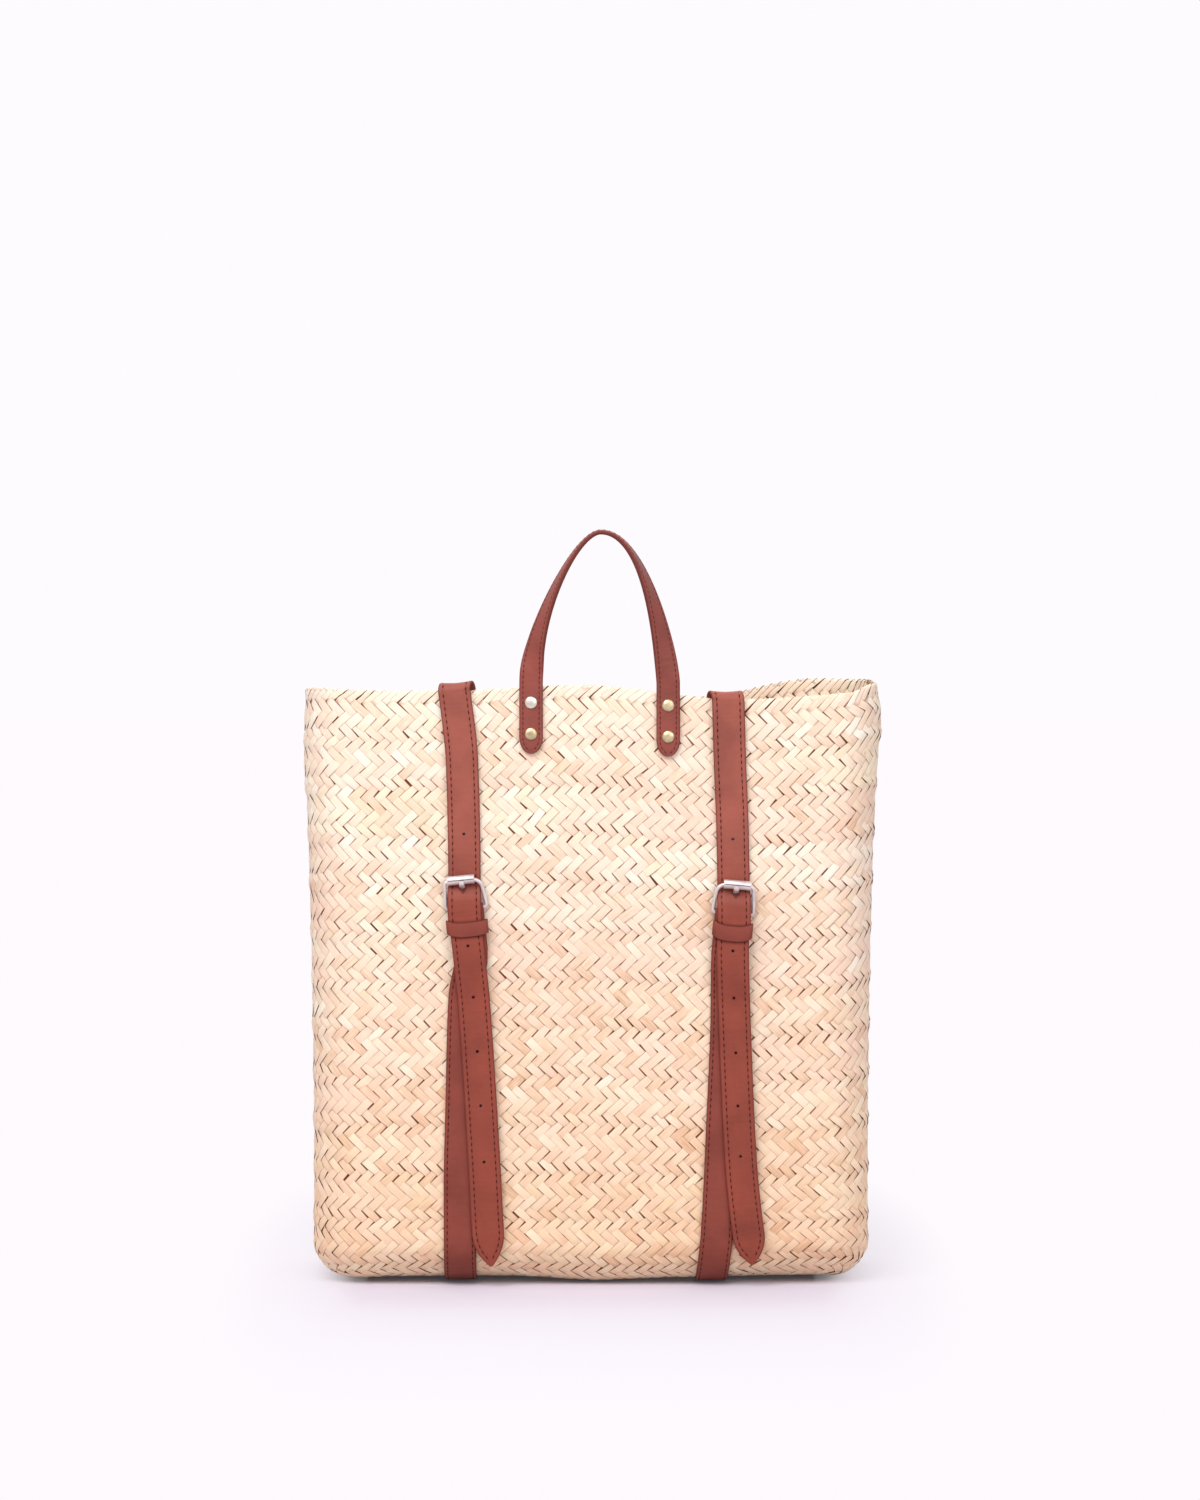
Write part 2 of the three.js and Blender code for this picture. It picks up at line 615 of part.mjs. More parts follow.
// Rounded rectangle drawn as [across, out from the wall]
function loopOutline(half, from, to, round) {
  const shape = new THREE.Shape();
  shape.moveTo(round - half, from);
  shape.lineTo(half - round, from);
  shape.absarc(half - round, from + round, round, -Math.PI / 2, 0);
  shape.lineTo(half, to - round);
  shape.absarc(half - round, to - round, round, 0, Math.PI / 2);
  shape.lineTo(round - half, to);
  shape.absarc(round - half, to - round, round, Math.PI / 2, Math.PI);
  shape.lineTo(-half, from + round);
  shape.absarc(round - half, from + round, round, Math.PI, 1.5 * Math.PI);
  return shape;
}

function keeper() {
  const half = STRAP_WIDTH / 2 + KEEPER_SIDE_PLAY;
  const back = KEEPER_BACK_OUT;
  const loop = loopOutline(half + KEEPER_LEATHER, back, KEEPER_FRONT_IN + KEEPER_LEATHER, 2);
  loop.holes.push(loopOutline(half, back + KEEPER_LEATHER, KEEPER_FRONT_IN, 0.8));
  const geometry = new THREE.ExtrudeGeometry(loop, {
    depth: KEEPER_HEIGHT, bevelEnabled: false, curveSegments: 3,
  });
  const turn = new THREE.Matrix4().makeBasis(
    new THREE.Vector3(1, 0, 0), new THREE.Vector3(0, -1, 0), new THREE.Vector3(0, 0, -1),
  );
  geometry.applyMatrix4(turn);
  return geometry.translate(0, 0, -KEEPER_BELOW_BAR);
}

// Slot for the prong, drawn as [across, up] and running out through the leather
function prongSlot(from, to, near, far) {
  const half = PRONG_WIDTH / 2 + PRONG_SLOT_PLAY;
  const geometry = new THREE.ExtrudeGeometry(loopOutline(half, from, to, half * 0.9), {
    depth: far - near, bevelEnabled: false, curveSegments: 4,
  });
  const turn = new THREE.Matrix4().makeBasis(
    new THREE.Vector3(1, 0, 0), new THREE.Vector3(0, 0, 1), new THREE.Vector3(0, -1, 0),
  );
  return geometry.applyMatrix4(turn).translate(0, -near, 0);
}

function upperStrap(shoulder, place) {
  const lineX = upperLineX(shoulder);
  const half = STRAP_WIDTH / 2;
  const bar = barHeight(shoulder);
  const rimX = lineX(RIM_HEIGHT);
  const rim = Math.max(...[-half, 0, half].map((across) => frontRim(rimX + across)));
  const easeTop = rim - Math.max(...RIM_RIVETS_BELOW_RIM) - EASE_BELOW_RIM_RIVETS;
  const overHeads = through([[easeTop - RIM_EASE_LENGTH, 0], [easeTop, OVER_HEADS - ON_WALL]]);
  const outAt = (z) => z < bar ? foldOut(z - bar) + SEAT + LEATHER / 2 : diveOut(z - bar) + overHeads(z);
  const insideOut = -BASKET_WALL - PLAIT_GAP - LEATHER / 2;
  const foldRadius = (OVER_HEADS - insideOut) / 2;
  const foldMiddle = (OVER_HEADS + insideOut) / 2;
  const wallReach = Math.max(-foldMiddle, BASKET_WALL + foldMiddle);
  const foldZ = rim + PLAIT_GAP - Math.sqrt((foldRadius - LEATHER / 2) ** 2 - wallReach ** 2);
  const normal = wallNormal(rimX, rim);
  const station = (centre, face) => ({ centre, face, half, thick: LEATHER });
  const inside = steps(rim - STRAP_INSIDE_LENGTH, foldZ, 3).slice(0, -1).map((z) => (
    station(offWall(rimX, z, insideOut), wallNormal(rimX, z).negate())
  ));
  const overRim = steps(180, 0, 7).map((degrees) => {
    const turn = radians(degrees);
    const face = normal.clone().multiplyScalar(Math.cos(turn)).add(new THREE.Vector3(0, 0, Math.sin(turn)));
    return station(offWall(rimX, foldZ, foldMiddle).addScaledVector(face, foldRadius), face);
  });
  const hingeZ = bar - TAIL_HINGE_DROP;
  const end = hingeZ + LEATHER / 2 + SEAT;
  const heights = [
    ...steps(foldZ, bar + 34, 6).slice(1),
    ...steps(bar + 34, bar - 10, 17).slice(1),
    ...steps(bar - 10, end, 2).slice(1),
  ];
  const outside = heights.map((z) => station(offWall(lineX(z), z, outAt(z)), wallNormal(lineX(z), z)));
  const holes = RIM_RIVETS_BELOW_RIM.map((drop, i) => {
    const z = rim - drop;
    const face = wallNormal(rimX, z);
    const point = offWall(rimX, z, SEAT);
    const stack = SEAT + BASKET_WALL + PLAIT_GAP + LEATHER + SEAT;
    basketHoles.push(drill(point, face, POST_HOLE, -stack, SEAT));
    bag.add(rivet(`${shoulder.side}_rim_${["upper", "lower"][i]}_rivet`, point, face, stack, true));
    return drill(point, face, POST_HOLE, -stack - 2, SEAT);
  });
  const spareZ = bar + SPARE_HOLE_ABOVE;
  const spareX = lineX(spareZ);
  const spare = offWall(spareX, spareZ, outAt(spareZ));
  holes.push(drill(spare, wallNormal(spareX, spareZ), HOLE_DIAMETER, -3, 3));
  holes.push(prongSlot(PRONG_SLOT_FROM, PRONG_SLOT_TO, 0, 14).applyMatrix4(place));
  const strap = cut(strip([...inside, ...overRim, ...outside]), holes);
  bag.add(named(`${shoulder.side}_upper_strap`, strap, TAN_LEATHER));
}

function strapTail(shoulder) {
  const lineX = upperLineX(shoulder);
  const bar = barHeight(shoulder);
  const hingeZ = bar - TAIL_HINGE_DROP;
  const centreAt = (z) => offWall(lineX(z), z, foldOut(z - bar + TAIL_BRIDGE) + SEAT + LEATHER / 2);
  const hinge = centreAt(hingeZ);
  const upwards = centreAt(hingeZ + 2).sub(hinge).normalize();
  const face = wallNormal(lineX(hingeZ), hingeZ);
  const pointTop = shoulder.tailTip + TAIL_POINT_LENGTH;
  const flatZ = bar - FOLD_LENGTH - FOLD_EASE - TAIL_BRIDGE;
  const heights = [
    ...steps(hingeZ, flatZ, 6).slice(1),
    ...steps(flatZ, pointTop, 4).slice(1),
    ...steps(pointTop, shoulder.tailTip, 6).slice(1),
  ];
  const stations = heights.map((z) => {
    const point = THREE.MathUtils.clamp((pointTop - z) / TAIL_POINT_LENGTH, 0, 1);
    return {
      centre: centreAt(z),
      face: wallNormal(lineX(z), z),
      half: STRAP_WIDTH / 2 * (1 - 0.94 * point ** 1.7),
      thick: LEATHER,
    };
  });
  const holes = steps(0, HOLES_ON_TAIL - 1, HOLES_ON_TAIL - 1).map((i) => {
    const z = bar - FIRST_TAIL_HOLE - i * HOLE_PITCH;
    return drill(centreAt(z), wallNormal(lineX(z), z), HOLE_DIAMETER, -3, 3);
  });
  joints[`${shoulder.side}_tail_swing`] = { at: hinge, axis: face.clone().cross(upwards).normalize() };
  const top = roundedEnd(hinge, upwards, face, STRAP_WIDTH / 2, LEATHER);
  bag.add(named(`${shoulder.side}_strap_tail`, cut(strip([...top, ...stations]), holes), TAN_LEATHER));
}

function lowerStrap(shoulder, place) {
  const bar = barHeight(shoulder);
  const half = STRAP_WIDTH / 2;
  const local = (out, up) => new THREE.Vector3(0, -out, up).applyMatrix4(place);
  const turned = (out, up) => new THREE.Vector3(0, -out, up).transformDirection(place);
  const foldFoot = local(0, -FOLD_LENGTH - 4);
  const lowerLine = shoulder.lowerLine.map(([share, x]) => [share * foldFoot.z, x]);
  const lineX = through([...lowerLine, [foldFoot.z, foldFoot.x]]);
  const footX = shoulder.lowerLine[0][1];
  const station = (centre, face, thick = LEATHER) => ({ centre, face, half, thick });
  const edgeZ = BASE_UNDERSIDE + BASE_EDGE_RADIUS;
  const edgeY = wallY(footX, edgeZ) + BASE_EDGE_RADIUS;
  const down = new THREE.Vector3(0, 0, -1);
  const under = steps(STRAP_UNDER_BASE_TO, edgeY, 2).slice(0, -1).map((y) => (
    station(new THREE.Vector3(footX, y, LEATHER / 2), down)
  ));
  const outwards = wallNormal(footX, edgeZ).setZ(0).normalize();
  const around = steps(0, 90, 6).map((degrees) => {
    const turn = radians(degrees);
    const out = BASE_EDGE_RADIUS + lerp(SEAT, PLAIT_GAP, degrees / 90) + LEATHER / 2;
    const face = down.clone().multiplyScalar(Math.cos(turn)).addScaledVector(outwards, Math.sin(turn));
    const x = lineX(edgeZ * (1 - Math.cos(turn)));
    const centre = new THREE.Vector3(x, edgeY - out * Math.sin(turn), edgeZ - out * Math.cos(turn));
    return station(centre, face);
  });
  const flatZ = bar - FOLD_LENGTH - FOLD_EASE;
  const heights = [...steps(edgeZ, flatZ, 5).slice(1), ...steps(flatZ, bar - FOLD_LENGTH - 6, 5).slice(1)];
  const wallRun = heights.map((z) => (
    station(offWall(lineX(z), z, foldOut(z - bar) - LEATHER / 2), wallNormal(lineX(z), z))
  ));
  const front = turned(1, 0);
  const thickAt = through([
    [-KEEPER_BELOW_BAR - 1, LEATHER], [-KEEPER_BELOW_BAR + 1, LEATHER],
    [-0.5, SKIVED_LEATHER], [0, SKIVED_LEATHER],
  ]);
  const foldFront = steps(-FOLD_LENGTH, 0, 10).slice(0, -1).map((up) => (
    station(local(foldOut(up) - thickAt(up) / 2, up), front, thickAt(up))
  ));
  const overBar = steps(0, 180, 7).map((degrees) => {
    const turn = radians(degrees);
    const centre = local(BAR_OUT + LOOP_RADIUS * Math.cos(turn), LOOP_RADIUS * Math.sin(turn));
    return station(centre, turned(Math.cos(turn), Math.sin(turn)), SKIVED_LEATHER);
  });
  const foldBack = steps(0, -FOLD_LENGTH, 2).slice(1).map((up) => (
    station(local(PLAIT_GAP + SKIVED_LEATHER / 2, up), front.clone().negate(), SKIVED_LEATHER)
  ));
  const holes = BASE_RIVETS_Y.map((y, i) => {
    const point = new THREE.Vector3(footX, y, BASE_RIVET_SINK + RIVET_FLAT_HEIGHT);
    const stack = BASE_UNDERSIDE + BASKET_WALL + SEAT - point.z;
    const post = drill(point, down, POST_HOLE, -stack - 3, 3);
    basketHoles.push(post);
    bag.add(rivet(`${shoulder.side}_base_${["front", "back"][i]}_rivet`, point, down, stack, true));
    return [post, drill(point, down, RIVET_HEAD + 2 * SEAT, -SEAT, 3)];
  }).flat();
  const eyeReach = EYE_RADIUS + PRONG_EYE_WALL + 1;
  holes.push(prongSlot(-eyeReach, eyeReach + 1, 0, LOOP_OUT + 1).applyMatrix4(place));
  const stations = [...under, ...around, ...wallRun, ...foldFront, ...overBar, ...foldBack];
  bag.add(named(`${shoulder.side}_lower_strap`, cut(strip(stations), holes), TAN_LEATHER));
}

for (const shoulder of SHOULDERS) {
  const place = bucklePlace(shoulder);
  upperStrap(shoulder, place);
  strapTail(shoulder);
  lowerStrap(shoulder, place);
  const buckle = new THREE.Group();
  buckle.applyMatrix4(place);
  buckle.add(
    named(`${shoulder.side}_buckle_frame`, buckleFrame(), NICKEL),
    named(`${shoulder.side}_buckle_prong`, buckleProng(), NICKEL),
    named(`${shoulder.side}_buckle_roller`, buckleRoller(shoulder.rollerShift), NICKEL),
    named(`${shoulder.side}_keeper`, keeper(), TAN_LEATHER),
  );
  bag.add(buckle);
  const axis = new THREE.Vector3(1, 0, 0).transformDirection(place);
  const bar = new THREE.Vector3(0, -BAR_OUT, 0).applyMatrix4(place);
  joints[`${shoulder.side}_buckle_tilt`] = { at: bar, axis };
  joints[`${shoulder.side}_prong_lift`] = { at: bar, axis };
  const roller = new THREE.Vector3(0, -ROLLER_OUT, ROLLER_UP).applyMatrix4(place);
  joints[`${shoulder.side}_roller_spin`] = { at: roller, axis };
}

const basketRings = [...basketFace(0), ...basketFace(BASKET_WALL).reverse()];
bag.add(named("basket", cut(skin(basketRings), basketHoles), STRAW));

// The straps stand out in front, so the whole sits back until it is centred over the origin
bag.position.y = -new THREE.Box3().setFromObject(bag, true).getCenter(new THREE.Vector3()).y;
for (const joint of Object.values(joints)) {
  joint.at = joint.at.clone().add(bag.position);
}
bag.userData.joints = joints;

const group = new THREE.Group();
group.add(bag);
export default group;
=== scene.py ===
"""Straw backpack: the looks of the plaited basket, its leather straps and its fittings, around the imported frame."""

import logging
import math
from dataclasses import dataclass
from enum import Enum
from typing import Callable, Iterable, Optional, Sequence

import bpy
import numpy as np
from mathutils import Matrix, Vector


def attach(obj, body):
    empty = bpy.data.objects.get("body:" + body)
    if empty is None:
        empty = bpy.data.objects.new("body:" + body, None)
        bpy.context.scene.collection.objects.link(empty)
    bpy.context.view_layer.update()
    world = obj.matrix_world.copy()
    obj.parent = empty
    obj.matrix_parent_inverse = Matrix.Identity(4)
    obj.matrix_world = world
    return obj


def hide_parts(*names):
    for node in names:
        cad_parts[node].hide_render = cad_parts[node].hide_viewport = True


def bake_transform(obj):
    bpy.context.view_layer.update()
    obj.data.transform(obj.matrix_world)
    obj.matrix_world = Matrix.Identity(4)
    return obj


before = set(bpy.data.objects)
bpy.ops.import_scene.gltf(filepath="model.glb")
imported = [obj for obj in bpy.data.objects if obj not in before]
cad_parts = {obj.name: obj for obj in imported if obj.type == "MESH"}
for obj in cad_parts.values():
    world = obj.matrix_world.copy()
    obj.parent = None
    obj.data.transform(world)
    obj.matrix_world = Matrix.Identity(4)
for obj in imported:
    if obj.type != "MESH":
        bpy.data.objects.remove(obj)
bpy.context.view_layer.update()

logging.basicConfig(level=logging.INFO, format="%(message)s")
log = logging.getLogger("straw_backpack")

MM = 0.001
SEED = 20417
WAVE_SEED_STEP = 31
BATCH_SEED_STEP = 977
INSIDE_SEED_STEP = 500009
NOISE_LOW, NOISE_HIGH = 0.3, 0.7
DOWN = np.array((0.0, 0.0, -1.0))

Array = np.ndarray
Piece = bpy.types.Object
Material = bpy.types.Material
Socket = bpy.types.NodeSocket
Colour = tuple[int, int, int]
Pairs = tuple[tuple[float, float], ...]
Levels = tuple[tuple[str, float], ...]
Station = tuple[Array, Array, float, float]


class Side(Enum):
    """The bag's two sides, as seen from the front."""

    LEFT = "left"
    RIGHT = "right"


class Lean(Enum):
    """Way in which the leaves of a row lean."""

    RISING = 1
    FALLING = -1


def unit(v: Array) -> Array:
    """The direction of a vector, or of each vector along the last axis."""
    return v / np.maximum(np.linalg.norm(v, axis=-1, keepdims=True), 1e-9)


def smooth(t: Array) -> Array:
    """Ease from 0 to 1, level at both ends."""
    t = np.clip(t, 0.0, 1.0)
    return t * t * (3.0 - 2.0 * t)


class Line:
    """A smooth line through pairs of position and value that never swings past a pair."""

    def __init__(self, pairs: Iterable[tuple[float, float]]) -> None:
        """Sorts the pairs and finds the slope at each.

        Args:
            pairs: positions and the values there.
        """
        line = sorted(pairs)
        self.at = np.array([p[0] for p in line], float)
        self.value = np.array([p[1] for p in line], float)
        rise = np.diff(self.value) / np.diff(self.at)
        before = np.concatenate((rise[:1], rise))
        after = np.concatenate((rise, rise[-1:]))
        same = before * after > 0
        total = np.where(same, before + after, 1.0)
        self.slope = np.where(same, 2.0 * before * after / total, 0.0)

    def __call__(self, position: float) -> float:
        """The value at a position, level beyond the ends.

        Args:
            position: place along the line.

        Returns:
            The value there.
        """
        p = float(np.clip(position, self.at[0], self.at[-1]))
        i = int(np.clip(np.searchsorted(self.at, p) - 1, 0, len(self.at) - 2))
        span = self.at[i + 1] - self.at[i]
        t = (p - self.at[i]) / span
        bend = t * (1.0 - t) * ((1.0 - t) * self.slope[i] - t * self.slope[i + 1]) * span
        return float(self.value[i] + (self.value[i + 1] - self.value[i]) * smooth(t) + bend)


def lengths_along(path: Array) -> Array:
    """Length along a path up to each of its points."""
    return np.concatenate(([0.0], np.cumsum(np.linalg.norm(np.diff(path, axis=0), axis=1))))


def closed(path: Array) -> Array:
    """A path brought back to its first point."""
    return np.concatenate((path, path[:1]))


def heading_round(path: Array) -> Array:
    """Direction along a closed path at each of its points."""
    return unit(np.roll(path, -1, axis=0) - np.roll(path, 1, axis=0))


# Mesh making


def deselect_all() -> None:
    """Leaves edit mode and deselects every object."""
    if bpy.context.object is not None and bpy.context.object.mode != "OBJECT":
        bpy.ops.object.mode_set(mode="OBJECT")
    bpy.ops.object.select_all(action="DESELECT")


def make_active(piece: Piece) -> None:
    """Selects one object alone and makes it the active one.

    Args:
        piece: the object.
    """
    deselect_all()
    piece.select_set(True)
    bpy.context.view_layer.objects.active = piece


def join_up(pieces: Sequence[Piece]) -> None:
    """Joins pieces into the first of them.

    Args:
        pieces: the mesh objects.
    """
    make_active(pieces[0])
    for piece in pieces[1:]:
        piece.select_set(True)
    bpy.ops.object.join()


def smooth_edges(piece: Piece, degrees: float = 38.0) -> None:
    """Shades a piece smooth, keeping edges sharper than an angle."""
    make_active(piece)
    bpy.ops.object.shade_smooth_by_angle(angle=math.radians(degrees))


def corners_of(piece: Piece) -> Array:
    """The vertices of a mesh object by 3, in its own units.

    Args:
        piece: the mesh object.

    Returns:
        The vertices.
    """
    values = np.empty(len(piece.data.vertices) * 3, np.float32)
    piece.data.vertices.foreach_get("co", values)
    return values.reshape(-1, 3)


def put_attribute(piece: Piece, name: str, values: Array) -> None:
    """Stores one number per vertex under a name.

    Args:
        piece: the mesh object.
        name: the attribute's name.
        values: one value for each vertex.
    """
    attribute = piece.data.attributes.new(name, "FLOAT", "POINT")
    attribute.data.foreach_set("value", np.asarray(values, np.float32).ravel())


def put_uv(piece: Piece, places: Array) -> None:
    """Lays the UV map on one place per vertex.

    Args:
        piece: the mesh object.
        places: the place of each vertex.
    """
    corner = np.empty(len(piece.data.loops), np.int32)
    piece.data.loops.foreach_get("vertex_index", corner)
    piece.data.uv_layers[0].data.foreach_set("uv", places.reshape(-1, 2)[corner].astype(np.float32).ravel())


def laid_grid(name: str, points: Array, marks: Optional[dict[str, Array]] = None,
              uv: Optional[Array] = None) -> Piece:
    """A grid primitive with its vertices laid on points, seams merged, holes closed and faces turned outwards.

    Args:
        name: the piece's name.
        points: rows by columns by 3, in millimetres.
        marks: numbers for each point, stored as attributes.
        uv: place of each point on the UV map.

    Returns:
        The closed mesh object.
    """
    rows, columns = points.shape[:2]
    deselect_all()
    bpy.ops.mesh.primitive_grid_add(x_subdivisions=columns - 1, y_subdivisions=rows - 1, size=1.0)
    piece = bpy.context.object
    piece.name = name
    piece.data.name = name
    piece.data.vertices.foreach_set("co", (points * MM).astype(np.float32).ravel())
    for mark, values in (marks or {}).items():
        put_attribute(piece, mark, values)
    if uv is not None:
        put_uv(piece, uv)
    bpy.ops.object.mode_set(mode="EDIT")
    bpy.ops.mesh.select_all(action="SELECT")
    bpy.ops.mesh.remove_doubles(threshold=2e-6)
    bpy.ops.mesh.fill_holes(sides=0)
    bpy.ops.mesh.select_all(action="SELECT")
    bpy.ops.mesh.normals_make_consistent(inside=False)
    bpy.ops.object.mode_set(mode="OBJECT")
    return piece


def stamped(name: str, template: Piece, points: Array) -> Piece:
    """One mesh that holds many copies of a template.

    Args:
        name: the piece's name.
        template: the shape that is copied.
        points: copies by vertices by 3, in millimetres.

    Returns:
        The mesh object, with the template's UV map on each copy.
    """
    source = template.data
    copies, corners = points.shape[0], len(source.loops)
    loop_vertex = np.empty(corners, np.int32)
    source.loops.foreach_get("vertex_index", loop_vertex)
    starts = np.empty(len(source.polygons), np.int32)
    source.polygons.foreach_get("loop_start", starts)
    step = np.arange(copies, dtype=np.int32)[:, None]
    mesh = bpy.data.meshes.new(name)
    mesh.vertices.add(copies * points.shape[1])
    mesh.vertices.foreach_set("co", (points * MM).astype(np.float32).ravel())
    mesh.loops.add(copies * corners)
    mesh.loops.foreach_set("vertex_index", (loop_vertex[None] + step * points.shape[1]).ravel())
    mesh.polygons.add(copies * len(starts))
    mesh.polygons.foreach_set("loop_start", (starts[None] + step * corners).ravel())
    if source.uv_layers:
        uv = np.empty(corners * 2, np.float32)
        source.uv_layers[0].data.foreach_get("uv", uv)
        mesh.uv_layers.new(name="UVMap").data.foreach_set("uv", np.tile(uv, copies))
    mesh.update(calc_edges=True)
    piece = bpy.data.objects.new(name, mesh)
    bpy.context.scene.collection.objects.link(piece)
    return piece


def discard(piece: Piece) -> None:
    """Removes a template or a cutter."""
    bpy.data.meshes.remove(piece.data)


def dress(piece: Piece, material: Material, slot: str) -> None:
    """Gives a piece its material."""
    piece.data.materials.append(material)


# Finishes


def srgb(red: int, green: int, blue: int) -> tuple[float, float, float, float]:
    """A colour as seen on a screen, made linear.

    Args:
        red: red from 0 to 255.
        green: green from 0 to 255.
        blue: blue from 0 to 255.

    Returns:
        The linear colour, opaque.
    """
    def channel(value: int) -> float:
        """One channel made linear."""
        share = value / 255.0
        return share / 12.92 if share <= 0.04045 else ((share + 0.055) / 1.055) ** 2.4
    return channel(red), channel(green), channel(blue), 1.0


@dataclass(frozen=True)
class NodeTree:
    """Short ways of adding and joining shader nodes."""

    tree: bpy.types.NodeTree

    def put(self, node: bpy.types.Node, inputs: dict) -> None:
        """Sets inputs of a node.

        Args:
            node: the node.
            inputs: a value or a socket for each input, by name or number.
        """
        for key, value in inputs.items():
            if isinstance(value, Socket):
                self.tree.links.new(value, node.inputs[key])
            else:
                node.inputs[key].default_value = value

    def add(self, kind: str, inputs: Optional[dict] = None, **settings: object) -> bpy.types.Node:
        """Adds a node.

        Args:
            kind: the node's type.
            inputs: values or sockets for its inputs.
            settings: the node's own settings.

        Returns:
            The node.
        """
        node = self.tree.nodes.new(kind)
        for key, value in settings.items():
            setattr(node, key, value)
        self.put(node, inputs or {})
        return node

    def math(self, operation: str, a: object, b: object = 0.0) -> Socket:
        """The result of a Math node."""
        return self.add("ShaderNodeMath", {0: a, 1: b}, operation=operation).outputs[0]

    def span(self, value: object, low: float, high: float, to_low: float, to_high: float) -> Socket:
        """A value carried from one range to another, clamped."""
        return self.add("ShaderNodeMapRange", {0: value, 1: low, 2: high, 3: to_low, 4: to_high}).outputs[0]

    def graded(self, noise: Socket, to_low: float, to_high: float) -> Socket:
        """The usual range of a noise carried to another range."""
        return self.span(noise, NOISE_LOW, NOISE_HIGH, to_low, to_high)

    def mix(self, share: object, a: object, b: object, blend: str = "MIX") -> Socket:
        """The colour of a Mix node."""
        return self.add("ShaderNodeMix", {0: share, 6: a, 7: b}, data_type="RGBA", blend_type=blend).outputs[2]

    def ramp(self, value: Socket, stops: Sequence[tuple[float, tuple]]) -> Socket:
        """The colour of a Color Ramp node.

        Args:
            value: what is looked up.
            stops: position and linear colour of each stop.

        Returns:
            The colour.
        """
        node = self.add("ShaderNodeValToRGB", {0: value})
        elements = node.color_ramp.elements
        while len(elements) < len(stops):
            elements.new(0.5)
        for element, (position, colour) in zip(elements, stops):
            element.position = position
            element.color = colour
        return node.outputs[0]

    def attribute(self, name: str) -> Socket:
        """The number that the mesh stores under a name."""
        return self.add("ShaderNodeAttribute", attribute_name=name).outputs["Fac"]

    def uv(self) -> Socket:
        """The place on the piece's own UV map, in millimetres."""
        return self.add("ShaderNodeUVMap", uv_map="UVMap").outputs[0]

    def place(self) -> Socket:
        """The place on the object, in metres."""
        return self.add("ShaderNodeTexCoord").outputs["Object"]

    def part(self, place: Socket, axis: int) -> Socket:
        """One part of a place: 0 for x, 1 for y and 2 for z."""
        return self.add("ShaderNodeSeparateXYZ", {0: place}).outputs[axis]

    def stretched(self, place: Socket, scale: tuple[float, float, float]) -> Socket:
        """A place scaled along each axis."""
        return self.add("ShaderNodeMapping", {"Vector": place, "Scale": scale}).outputs[0]

    def noise(self, place: Socket, scale: object, detail: float = 2.0, roughness: float = 0.5) -> Socket:
        """The value of a Noise Texture node."""
        inputs = {"Vector": place, "Scale": scale, "Detail": detail, "Roughness": roughness}
        return self.add("ShaderNodeTexNoise", inputs).outputs[0]

    def bump(self, height: Socket, strength: float, distance: float) -> Socket:
        """The normal of a Bump node."""
        return self.add("ShaderNodeBump", {"Height": height, "Strength": strength, "Distance": distance}).outputs[0]

    def mottle(self, slow: float, quick: float) -> tuple[Socket, Socket]:
        """The slow and the quick noise of the mottle group, at two scales."""
        node = self.add("ShaderNodeGroup", {"Slow": slow, "Quick": quick}, node_tree=mottle_group())
        return node.outputs["Mottle"], node.outputs["Speckle"]


def mottle_group() -> bpy.types.NodeTree:
    """Soft uneven dye or tarnish: a slow and a quick noise, on Object coordinates, built once.

    Returns:
        The group.
    """
    name = "mottle"
    if name in bpy.data.node_groups:
        return bpy.data.node_groups[name]
    tree = bpy.data.node_groups.new(name, "ShaderNodeTree")
    for label, scale in (("Slow", 40.0), ("Quick", 400.0)):
        tree.interface.new_socket(label, in_out="INPUT", socket_type="NodeSocketFloat").default_value = scale
    for label in ("Mottle", "Speckle"):
        tree.interface.new_socket(label, in_out="OUTPUT", socket_type="NodeSocketFloat")
    t = NodeTree(tree)
    given, place = t.add("NodeGroupInput"), t.place()
    t.add("NodeGroupOutput", {"Mottle": t.noise(place, given.outputs["Slow"], detail=3.0),
                              "Speckle": t.noise(place, given.outputs["Quick"])})
    return tree


def new_material(name: str) -> tuple[Material, NodeTree, bpy.types.Node]:
    """A new material, its nodes and its Principled shader.

    Args:
        name: the material's name.

    Returns:
        The material, its nodes and its shader.
    """
    made = bpy.data.materials.new(name)
    made.use_nodes = True
    return made, NodeTree(made.node_tree), made.node_tree.nodes["Principled BSDF"]


def shaded(colour: Colour, share: float) -> Colour:
    """A screen colour made lighter or darker."""
    return tuple(min(255, round(value * share)) for value in colour)


